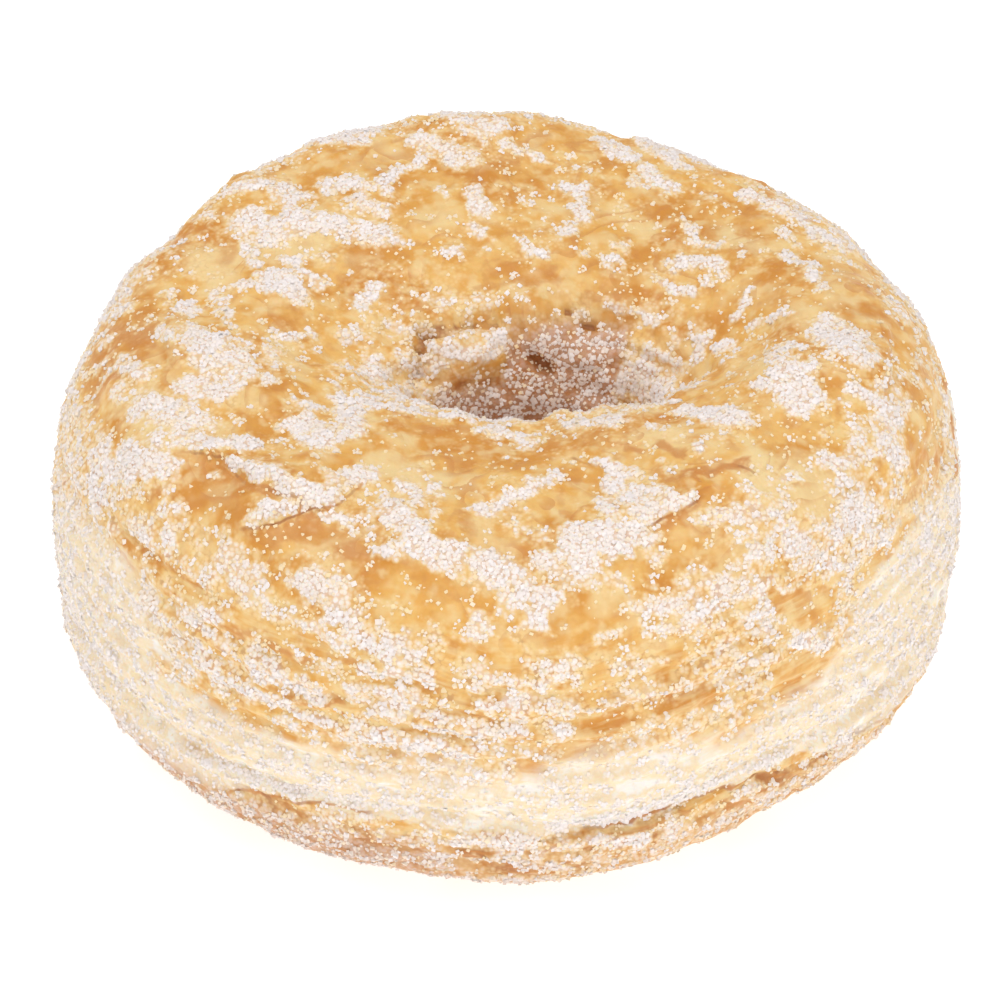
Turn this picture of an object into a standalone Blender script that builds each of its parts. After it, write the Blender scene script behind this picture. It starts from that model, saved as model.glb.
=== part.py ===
"""A sugared ring pastry of laminated dough, about 95 mm across and 43 mm tall.

Metres, +Z up. The ring stands on its flat foot at z = 0, with its hole on the Z axis. Its
section is four rounded quarters and a flat foot, turned about Z. The turned ring is then grown
as the dough rose: wider and taller on some sides, its hole an oval a little off the middle, its
side stepped into layers, and the edges of its top sheets raised into folds.
"""
import math

import bmesh
import bpy
from mathutils import Vector, noise

# Section, as distances from the hole's axis and heights above the foot
RING_RADIUS = 0.0475        # the widest part of the side
WAIST_HEIGHT = 0.0135       # where the side is widest
CREST_RADIUS = 0.0320       # the top of the ring
CREST_HEIGHT = 0.0426
THROAT_RADIUS = 0.0066      # the narrowest part of the hole
THROAT_HEIGHT = 0.0227
FOOT_OUTER = 0.0320         # the flat foot is a ring between these two
FOOT_INNER = 0.0190

# Squareness of each quarter: 2 is an ellipse, more is boxier
SHOULDER_SQUARE = 2.72
BELLY_SQUARE = 2.35
FUNNEL_SQUARE = 3.0
UNDERCUT_SQUARE = 2.2

# Layers of the side: each is two rows of points, one standing out and one drawn in
LAYER_PITCH = 0.0028
LAYER_DEPTH = 0.00022
LAYERED_FROM = 0.0061
LAYERED_TO = LAYERED_FROM + 10 * LAYER_PITCH
SEAM_HEIGHT = LAYERED_FROM + 3 * LAYER_PITCH    # the groove under the pale band
SEAM_DEPTH = 0.0010
SIDE_SWAY = 0.0024          # how far the layers wander up and down round the ring
SIDE_SWAY_SPAN = 0.022

# Points along the rest of the section, and round the ring
TOP_STEP = 0.0026
HOLE_STEP = 0.0032
FOOT_STEP = 0.0045
TURNED_STEPS = 84

# The hole, an oval to the right of the middle and nearer to the viewer
HOLE_SHIFT = (0.0034, -0.0035)
HOLE_STRETCH = (1.59, 0.70)
HOLE_AT_FOOT = 0.35         # how much of its shift and stretch is left at the foot

# How much wider and taller the dough rose: (waves round the ring, cosine share, sine share)
WIDTH_WAVES = ((2, 0.014, 0.005), (3, 0.004, -0.008), (4, 0.007, 0.000), (5, 0.000, -0.004))
HEIGHT_WAVES = ((1, 0.022, -0.008), (2, 0.010, -0.017), (3, 0.010, -0.019))

# Swells of the top crust
SWELL_HEIGHT = 0.0010
SWELL_SPAN = 0.011

# Edges of the top sheets: where each starts and ends in plan, and how high it stands. The high
# side is to the left of the way from start to end.
SHEET_EDGES = (
    ((-0.0320, -0.0205), (-0.0190, -0.0300), 0.0010),
    ((-0.0280, -0.0325), (-0.0140, -0.0285), 0.0008),
    ((0.0120, -0.0343), (0.0210, -0.0287), 0.0008),
    ((-0.0040, -0.0300), (0.0060, -0.0255), 0.0006),
    ((-0.0140, 0.0130), (-0.0030, 0.0170), 0.0006),
    ((0.0140, -0.0370), (0.0330, -0.0290), 0.0006),
    ((0.0380, -0.0150), (0.0400, -0.0010), 0.0007),
    ((0.0330, 0.0170), (0.0200, 0.0300), 0.0008),
    ((0.0040, 0.0360), (-0.0140, 0.0340), 0.0008),
    ((-0.0270, 0.0290), (-0.0370, 0.0160), 0.0008),
    ((-0.0360, 0.0030), (-0.0340, -0.0110), 0.0006),
)
EDGE_SOFTNESS = 0.0016
SHEET_REACH = 0.0085

# Lobe of dough on the left wall of the hole, above its throat
LOBE_PLACE = (-0.0055, 0.0016, 0.0352)
LOBE_SPAN = 0.0055
LOBE_SWELL = 0.0017

FOOT_BLEND = 0.004          # relief fades out over this height above the foot
CRUST_COLOUR = (0.80, 0.50, 0.19, 1.0)


def smooth(share):
    """Ease from 0 to 1."""
    share = min(max(share, 0.0), 1.0)
    return share * share * (3 - 2 * share)


def rounded_quarter(start, end, square, points=240):
    """Points from start, where the quarter runs upright, to end, where it runs level."""
    found = []
    for index in range(points + 1):
        turn = index / points * math.pi / 2
        across = 1 - math.cos(turn) ** (2 / square)
        up = math.sin(turn) ** (2 / square)
        found.append((start[0] + (end[0] - start[0]) * across,
                      start[1] + (end[1] - start[1]) * up))
    return found


def drop(above, below):
    """The height between two points."""
    return abs(above[1] - below[1])


def evenly(points, step, gap=math.dist):
    """The polyline again, with its points close to one step apart."""
    lengths = [0.0]
    for before, after in zip(points, points[1:]):
        lengths.append(lengths[-1] + gap(before, after))
    count = max(2, round(lengths[-1] / step))
    found, index = [], 0
    for number in range(count + 1):
        wanted = lengths[-1] * number / count
        while index < len(points) - 2 and lengths[index + 1] < wanted:
            index += 1
        share = (wanted - lengths[index]) / (lengths[index + 1] - lengths[index])
        found.append(tuple(a + (b - a) * share for a, b in zip(points[index], points[index + 1])))
    return found


def split(points, height):
    """The points of a rising run below this height, and those above it."""
    low = [point for point in points if point[1] <= height]
    high = [point for point in points if point[1] >= height]
    return low, [low[-1]] + high


def ring_section():
    """The closed outline of the ring's section, from the crest down its outer side and back."""
    waist = (RING_RADIUS, WAIST_HEIGHT)
    throat = (THROAT_RADIUS, THROAT_HEIGHT)
    crest = (CREST_RADIUS, CREST_HEIGHT)
    shoulder = rounded_quarter(waist, crest, SHOULDER_SQUARE)
    belly = rounded_quarter(waist, (FOOT_OUTER, 0.0), BELLY_SQUARE)
    funnel = rounded_quarter(throat, crest, FUNNEL_SQUARE)
    undercut = rounded_quarter(throat, (FOOT_INNER, 0.0), UNDERCUT_SQUARE)
    low_shoulder, top = split(shoulder, LAYERED_TO)
    toe, high_belly = split(belly[::-1], LAYERED_FROM)
    hole_wall, inner_top = split(funnel, 0.9 * CREST_HEIGHT)
    runs = (
        evenly(top[::-1], TOP_STEP),
        evenly(low_shoulder[::-1] + high_belly[::-1][1:], LAYER_PITCH / 2, drop),
        evenly(toe[::-1], TOP_STEP),
        evenly([(FOOT_OUTER, 0.0), (FOOT_INNER, 0.0)], FOOT_STEP),
        evenly(undercut[::-1], HOLE_STEP),
        evenly(hole_wall, HOLE_STEP),
        evenly(inner_top, TOP_STEP),
    )
    return [point for run in runs for point in run[:-1]]


def turned_ring(outline):
    """The section turned about Z by a Screw modifier, as a mesh of its own."""
    profile = bpy.data.meshes.new("ring_section")
    count = len(outline)
    corners = [(reach, 0.0, height) for reach, height in outline]
    edges = [(index, (index + 1) % count) for index in range(count)]
    profile.from_pydata(corners, edges, [])
    section = bpy.data.objects.new("ring_section", profile)
    bpy.context.scene.collection.objects.link(section)
    screw = section.modifiers.new("turn", "SCREW")
    screw.steps = screw.render_steps = TURNED_STEPS
    screw.use_merge_vertices = True
    screw.merge_threshold = 0.00001
    turned = section.evaluated_get(bpy.context.evaluated_depsgraph_get())
    mesh = bpy.data.meshes.new_from_object(turned)
    bpy.data.objects.remove(section)
    bpy.data.meshes.remove(profile)
    return mesh


def waves(bearing, shares):
    """The sum of a few waves round the ring."""
    return sum(across * math.cos(count * bearing) + along * math.sin(count * bearing)
               for count, across, along in shares)


def grown(place):
    """Where a point of the plain turned ring lies in the risen, uneven dough."""
    bearing = math.atan2(place.y, place.x)
    reach = math.hypot(place.x, place.y)
    outside = smooth((reach - THROAT_RADIUS) / (CREST_RADIUS - THROAT_RADIUS))
    wider = 1 + outside * waves(bearing, WIDTH_WAVES)
    taller = 1 + outside * waves(bearing, HEIGHT_WAVES) * min(place.z / CREST_HEIGHT, 1.0)
    lower = smooth(place.z / THROAT_HEIGHT)
    inside = (1 - outside) * (HOLE_AT_FOOT + (1 - HOLE_AT_FOOT) * lower)
    plan = [value * wider * (1 + inside * (stretch - 1)) + inside * shift
            for value, stretch, shift in zip(place.xy, HOLE_STRETCH, HOLE_SHIFT)]
    mark = Vector((place.x, place.y, 0.0)) / SIDE_SWAY_SPAN
    sway = SIDE_SWAY * noise.noise(mark) * math.sin(math.pi * min(place.z / CREST_HEIGHT, 1.0))
    return Vector((plan[0], plan[1], place.z * taller + outside * sway))


def edge_rise(place, start, end, height):
    """How far the sheet that ends along this line lifts the crust."""
    along = Vector(end) - Vector(start)
    offset = place.xy - Vector(start)
    share = offset.dot(along) / along.length_squared
    beside = (along.x * offset.y - along.y * offset.x) / along.length
    window = smooth(share / 0.25) * smooth((1 - share) / 0.25)
    rise = smooth(0.5 + beside / (2 * EDGE_SOFTNESS))
    fade = 1 - smooth(beside / SHEET_REACH)
    return height * window * rise * fade


def top_relief(place):
    """Folds and swells of the browned top."""
    swell = SWELL_HEIGHT * noise.noise(place / SWELL_SPAN)
    return swell + sum(edge_rise(place, *edge) for edge in SHEET_EDGES)


def side_relief(plain):
    """Layers of the side, and the seam over the browned underside."""
    layer = -LAYER_DEPTH * math.cos(2 * math.pi * (plain.z - LAYERED_FROM) / LAYER_PITCH)
    bearing_mark = Vector((plain.x, plain.y, 2 * plain.z)) / SIDE_SWAY_SPAN
    showing = 1 + noise.noise(bearing_mark * 2)
    groove = -SEAM_DEPTH * smooth(1 - abs(plain.z - SEAM_HEIGHT) / LAYER_PITCH)
    return layer * showing + groove


def hole_relief(place):
    """The lobe on the hole's left wall."""
    away = (place - Vector(LOBE_PLACE)).length / LOBE_SPAN
    return LOBE_SWELL * math.exp(-away * away)


def relief(plain, place):
    """How far the crust stands off the smooth risen dough."""
    on_side = smooth((math.hypot(plain.x, plain.y) - 0.9 * RING_RADIUS) / 0.002)
    on_top = smooth((plain.z - 0.034) / 0.005)
    layered = on_side * smooth((LAYERED_TO - plain.z) / 0.004)
    stand = on_top * top_relief(place) + layered * side_relief(plain) + hole_relief(place)
    return stand * smooth(place.z / FOOT_BLEND)


def raise_crust(mesh):
    """Grow the turned ring, then push each point out along its normal by the relief there."""
    shape = bmesh.new()
    shape.from_mesh(mesh)
    bmesh.ops.remove_doubles(shape, verts=shape.verts, dist=0.00001)
    plain_places = [point.co.copy() for point in shape.verts]
    for point in shape.verts:
        point.co = grown(point.co)
    bmesh.ops.recalc_face_normals(shape, faces=shape.faces)
    shape.normal_update()
    stands = [point.normal * relief(plain, point.co)
              for plain, point in zip(plain_places, shape.verts)]
    for point, stand in zip(shape.verts, stands):
        point.co += stand
    shape.to_mesh(mesh)
    shape.free()


def centre_on_foot(mesh):
    """Put the middle of the ring's outer box on the Z axis."""
    lows = [min(point.co[axis] for point in mesh.vertices) for axis in (0, 1)]
    highs = [max(point.co[axis] for point in mesh.vertices) for axis in (0, 1)]
    for point in mesh.vertices:
        for axis in (0, 1):
            point.co[axis] -= (lows[axis] + highs[axis]) / 2


def crust_material():
    """Golden fried crust under sugar."""
    material = bpy.data.materials.new("sugared_crust")
    material.use_nodes = True
    shader = material.node_tree.nodes["Principled BSDF"]
    shader.inputs["Base Color"].default_value = CRUST_COLOUR
    shader.inputs["Roughness"].default_value = 0.65
    shader.inputs["Metallic"].default_value = 0.0
    return material


def make_cronut(collection):
    """The whole pastry, one solid."""
    mesh = turned_ring(ring_section())
    mesh.name = "cronut"
    raise_crust(mesh)
    centre_on_foot(mesh)
    mesh.shade_smooth()
    mesh.materials.clear()
    mesh.materials.append(crust_material())
    collection.objects.link(bpy.data.objects.new("cronut", mesh))


def clear_scene():
    for thing in list(bpy.data.objects):
        bpy.data.objects.remove(thing)


def main():
    clear_scene()
    collection = bpy.data.collections.new("Cronut")
    bpy.context.scene.collection.children.link(collection)
    make_cronut(collection)


main()
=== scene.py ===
"""Crust, sugar and studio for a fried ring of laminated dough.

Metres, +Z up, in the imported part's frame. The crust is the part's own form turned with many
more rows, so that it carries the flakes, layers and blisters; sugar lies on it as real grains.
"""

import math

import bmesh
import bpy
import numpy as np
from bpy.props import FloatProperty, FloatVectorProperty, IntProperty, PointerProperty
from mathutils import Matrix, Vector, kdtree, noise


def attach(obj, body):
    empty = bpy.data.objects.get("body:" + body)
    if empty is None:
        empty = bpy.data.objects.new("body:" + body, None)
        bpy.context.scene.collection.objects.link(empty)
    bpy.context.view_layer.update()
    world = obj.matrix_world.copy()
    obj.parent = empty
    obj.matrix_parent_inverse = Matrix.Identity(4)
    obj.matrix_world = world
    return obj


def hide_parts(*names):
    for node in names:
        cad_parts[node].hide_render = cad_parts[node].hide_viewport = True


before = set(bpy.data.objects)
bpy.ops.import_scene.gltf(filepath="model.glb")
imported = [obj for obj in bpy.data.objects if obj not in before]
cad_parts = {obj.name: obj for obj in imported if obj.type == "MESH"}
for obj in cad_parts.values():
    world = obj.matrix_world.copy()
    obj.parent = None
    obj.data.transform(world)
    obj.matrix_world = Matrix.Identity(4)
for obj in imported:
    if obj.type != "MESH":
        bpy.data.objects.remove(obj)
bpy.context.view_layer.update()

bl_info = {
    "name": "Sugared laminated ring",
    "version": (1, 0, 0),
    "blender": (4, 5, 0),
    "location": "3D View > Sidebar > Pastry",
    "description": "Crust, sugar and studio for a fried ring of laminated dough",
    "category": "Add Mesh",
}

MM = 0.001

# The ring's own form, as in the part: distances from the hole's axis and heights above the foot
RING_RADIUS = 0.0475
WAIST_HEIGHT = 0.0135
CREST_RADIUS = 0.0320
CREST_HEIGHT = 0.0426
THROAT_RADIUS = 0.0066
THROAT_HEIGHT = 0.0227
FOOT_OUTER = 0.0320
FOOT_INNER = 0.0190
SHOULDER_SQUARE = 2.72
BELLY_SQUARE = 2.35
FUNNEL_SQUARE = 3.0
UNDERCUT_SQUARE = 2.2
LAYER_PITCH = 0.0028
LAYER_DEPTH = 0.00022
LAYERED_FROM = 0.0061
LAYERED_TO = LAYERED_FROM + 10 * LAYER_PITCH
SEAM_HEIGHT = LAYERED_FROM + 3 * LAYER_PITCH
SEAM_DEPTH = 0.0010
SIDE_SWAY = 0.0024
SIDE_SWAY_SPAN = 0.022
HOLE_SHIFT = (0.0034, -0.0035)
HOLE_STRETCH = (1.59, 0.70)
HOLE_AT_FOOT = 0.35
WIDTH_WAVES = ((2, 0.014, 0.005), (3, 0.004, -0.008), (4, 0.007, 0.000), (5, 0.000, -0.004))
HEIGHT_WAVES = ((1, 0.022, -0.008), (2, 0.010, -0.017), (3, 0.010, -0.019))
SWELL_HEIGHT = 0.0010
SWELL_SPAN = 0.011
LOBE_PLACE = (-0.0055, 0.0016, 0.0352)
LOBE_SPAN = 0.0055
LOBE_SWELL = 0.0017
FOOT_BLEND = 0.004

# The way along which the sheets' edges, drifts and stains below were laid out: down over the near
# side of the ring at this angle to the table
LAID_ALONG = np.array((0.0, math.cos(math.radians(40)), -math.sin(math.radians(40))))
# Faces nearer to that way than this sine are not corrected for it
GRAZING = 0.3

# The crust lies this far inside the part, to leave room for its sugar
CRUST_INSET = 0.00035
# Where the hole's wall is unrolled
HOLE_RADIUS = 0.012
# Sugar dust between the drifts, on top and round the side
TOP_DUST = 0.29
SIDE_DUST = 0.58
HOLE_DUST = 0.50
# Where the finished ring's outer box has its middle before it is centred
OFF_CENTRE = np.array((0.00016, 0.00020, 0.0))
# Zones of the ring: how far out or how high they begin or end, and over how much they blend
OUTER_FROM = (0.78 * RING_RADIUS, 0.003)
SIDE_FROM = (0.9 * RING_RADIUS, 0.002)
TOP_FROM = (0.034, 0.005)
HOLE_WITHIN = (0.0165, 0.004)
HOLE_FROM = (0.001, 0.002)
UNDERSIDE_BELOW = (0.006, 0.004)
LAYERS_BELOW = (LAYERED_TO, 0.004)
TOP_SUGAR_FROM = (0.033, 0.003)
SIDE_SUGAR_BELOW = (0.0405, 0.003)
RELIEF_FROM = (0.0003, 0.003)
BROWNED_FOOT_BELOW = (0.0126, 0.0035)
# Inside this the hole's wall is not unrolled as the side is
SIDE_BEYOND = HOLE_RADIUS / 0.7
# How far one seed of the noise lies from the next, in lumps
SEED_STEP = np.array((17.3, 9.1, 5.7))
# Lumps of the noise that makes the edges of drifts and stains ragged
RAGGED_SPANS = (0.0030, 0.0011)
# The other noise by what it does: the span of its lumps and a number that sets it apart
NOISE = {
    "sheets": (0.010, 5), "flakes": (0.0035, 6), "blisters": (0.0030, 7), "wrinkles": (0.0014, 8),
    "long warp": (0.016, 9), "short warp": (0.005, 10), "leaves": (0.009, 11),
    "thin leaves": (0.0045, 12), "hole lumps": (0.0042, 13), "crumbs": (0.0017, 14),
    "unseen drifts": (0.0060, 21), "unseen clumps": (0.0024, 22), "breaks": (0.0017, 23),
    "fine breaks": (0.0009, 24), "dust": (0.0070, 25), "fine dust": (0.0026, 26),
    "damp": (0.0030, 27), "pale top": (0.012, 31), "pale foot": (0.008, 32),
    "toasted foot": (0.004, 33), "hole edge": (0.004, 34), "brown foot": (0.003, 35),
    "bare patches": (0.0045, 41), "torn": (0.0013, 42), "finely torn": (0.0007, 43),
    "whiteness": (0.0022, 44),
}

# How far noise bends the thin leaves of the side, and how thin they are drawn
LONG_WARP = 0.0016
SHORT_WARP = 0.0005
LEAVES_DRAWN = 11
# How far the hole's wall stands up in lumps
HOLE_LUMPS = 0.0009

# Stretches of the ring by bearing, in degrees: where it starts and over how many degrees it eases
# in, where it ends and over how many it eases out
LEFT_FLANK = (186, 14, 236, 22)
LOW_LEFT_FLANK = (186, 14, 245, 22)
RIGHT_FLANK = (312, 16, 12, 10)
LOW_RIGHT_FLANK = (308, 22, 12, 10)
UNSEEN_SIDE = (2, 12, 192, 12)
BROWNED_FOOT = (205, 20, 270, 14)
FAR_WALL = (41, 16, 112, 14)
LEFT_WALL = (92, 8, 170, 25)
# Edges of the pale waist in millimetres above the foot: how high, how much higher on the flanks,
# and how far they wander
PALE_TOP = (24.5, 9.0, 3.0)
PALE_LOW = (13.5, -5.0, 0.6)
# Where the pale waist's top edge has gone, and from where the side below it is browned
PALE_TOP_BLEND = (2.0, 8.0)
PALE_LOW_BLEND = 0.7
BROWNED_SIDE_FROM = (1.0, 3.0)
# Up to where the hole's wall is darkened, for its browning and for painted shade deep in the hole, how
# much higher on two of its sides, and the blend
DARKENED_HOLE_HEIGHT = 0.0308
FAR_WALL_RISE = 0.0096
LEFT_WALL_RISE = 0.0044
DARKENED_HOLE_BLEND = 0.004

# The mottling of the crust, in lumps per metre
WIDE, DOUGHY, PATCHY, BLOTCHY, FINE, PIMPLED = 95.0, 190.0, 260.0, 480.0, 900.0, 1500.0
IN_PLACES = 150.0
GRAINS_SMALL, GRAINS_LARGE = 2100.0, 1000.0
STREAKS_ALONG, STREAKS_ACROSS = 190.0, 1300.0

# How light spreads under the crust and in the sugar by colour, and how far
DOUGH_GLOW, DOUGH_GLOW_DEPTH = (1.0, 0.45, 0.18), 0.0012
SUGAR_GLOW, SUGAR_GLOW_DEPTH = (1.0, 0.85, 0.75), 0.0005
# Painted light: the sugar glows a little by itself, so that its shaded sides stay light as if light
# passed through it; the glow's colour and how much
SUGAR_PAINTED_LIGHT, SUGAR_PAINTED_LIGHT_SHARE = (1.0, 0.96, 0.94, 1.0), 0.13
# Depth of the crust's finest relief
BUMP_DEPTH = 0.0003

# Cover of sugar from which it cakes, draws clusters, lies thinly and lies in heaps
CAKED_FROM = (0.3, 0.5)
CLUSTERED_FROM = (0.20, 0.36)
THIN_FROM = (0.15, 0.3)
HEAPED_FROM = (0.52, 0.42)
# Draws of clusters of sugar per square millimetre
CLUSTER_DRAWS = 1.7
# Least distance of clusters and of grains, and height of a grain, by their own width
CLUSTER_GAP = 1.25
GRAIN_GAP = 0.88
GRAIN_HEIGHT = 1.06
# The crust's map keeps this far from its edges, and a grain's faces lie so in a cell of theirs
MAP_MARGIN = 0.002
IN_CELL = np.array([(0.2, 0.2), (0.8, 0.2), (0.5, 0.8)])
# Shades of sugar crystals each way across their map, and the pieces into which they are joined
PALETTE = 12
SUGAR_PIECES = 5
# How much a crystal's own shape shows in how it is lit
CRYSTAL_EDGE = 0.6

# Places and aims of the lights and the camera
KEY_LIGHT = (0.7, (-0.10, 0.00, 0.82))
FILL_LIGHT = (0.6, (0.25, -0.70, 0.16))
MIDDLE_HEIGHT = 0.020
FLOOR_HALF = 1.5
LENS = 126.9
SENSOR = 36.0
LENS_SHIFT = (-0.0067, -0.0188)

# Edges of the top sheets, in millimetres in plan: start x and y, end x and y, how high the sheet
# stands, and how soft the edge is. The high side is to the left of the way from start to end.
SHEET_EDGES = (
    (-32, -20.5, -19, -30, 1, 0.4), (-28, -32.5, -14, -28.5, 0.8, 0.4), (12, -34.3, 21, -28.7, 0.8, 0.45),
    (-4, -30, 6, -25.5, 0.6, 0.4), (-14, 13, -3, 17, 0.6, 0.45), (14, -37, 33, -29, 0.6, 0.45),
    (38, -15, 40, -1, 0.7, 0.5), (33, 17, 20, 30, 0.8, 0.45), (4, 36, -14, 34, 0.8, 0.45),
    (-27, 29, -37, 16, 0.8, 0.45), (-36, 3, -34, -11, 0.6, 0.45),
)
SHEET_REACH = 0.0085
SHEET_RAGGED = 0.45

# Creases close under the sheets' edges, painted as thin dark lines of shade, in millimetres in plan:
# start x and y, end x and y, and how dark. The high side is to the left of the way from start to end.
TOP_CREASES = (
    (-32.3, -20.9, -28.6, -22.4, 0.6), (-28.6, -22.4, -26.1, -26.1, 1), (-26.1, -26.1, -22, -28.1, 1),
    (-22, -28.1, -20, -28.9, 0.6), (-25.8, -31.1, -23.4, -31.7, 0.8), (-23.4, -31.7, -21.2, -31.2, 1),
    (-21.2, -31.2, -18.7, -30.1, 1), (-18.7, -30.1, -16.4, -29.6, 0.8), (-16.4, -29.6, -13.9, -26.2, 0.6),
    (14.4, -32.9, 16.9, -31.5, 1), (16.9, -31.5, 18.9, -29.9, 0.9), (19.7, -26.9, 21.9, -26, 0.8),
    (21.9, -26, 24.3, -27, 0.8), (6.6, -22.6, 9.8, -25.2, 0.7), (38, -15, 39.5, -5, 0.5),
    (33, 17, 26, 24, 0.5), (2, 35.6, -9, 34.8, 0.5), (-29, 26.5, -35, 18, 0.5),
)
# The same round the side, by bearing and height: the brown line under the pale band, painted as a line of
# shade under its lip
SIDE_CREASES = (
    (231, 9, 235, 12, 0.7), (235, 12, 248, 14.4, 0.9), (248, 14.4, 253, 14.6, 0.8),
    (253, 12.8, 263, 13.2, 0.5), (263, 10.9, 269, 11.1, 0.9), (270, 8.6, 275, 8.4, 1),
    (274.5, 11, 278, 13.1, 0.9), (278, 13.1, 281, 13.8, 1), (281, 13.8, 290, 14.1, 1),
    (290, 14.1, 306, 13.4, 1), (305, 12.4, 311, 11.6, 0.9), (311, 11.5, 320, 11.6, 0.7),
    (320, 11.2, 330, 9.5, 0.5), (350, 11, 380, 12.5, 0.5), (30, 12.8, 60, 13.6, 0.7),
    (66, 13.2, 96, 14.4, 0.6), (100, 14.6, 132, 12.4, 0.7), (138, 13.6, 170, 12, 0.6),
    (176, 11, 200, 10.2, 0.5),
)
# How far to either side of a crease its distance is kept, over how much that fades, and how far
# past its ends it shows
CREASE_REACH = 1.2
CREASE_BLEND = 0.3
CREASE_END = 0.5

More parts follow.
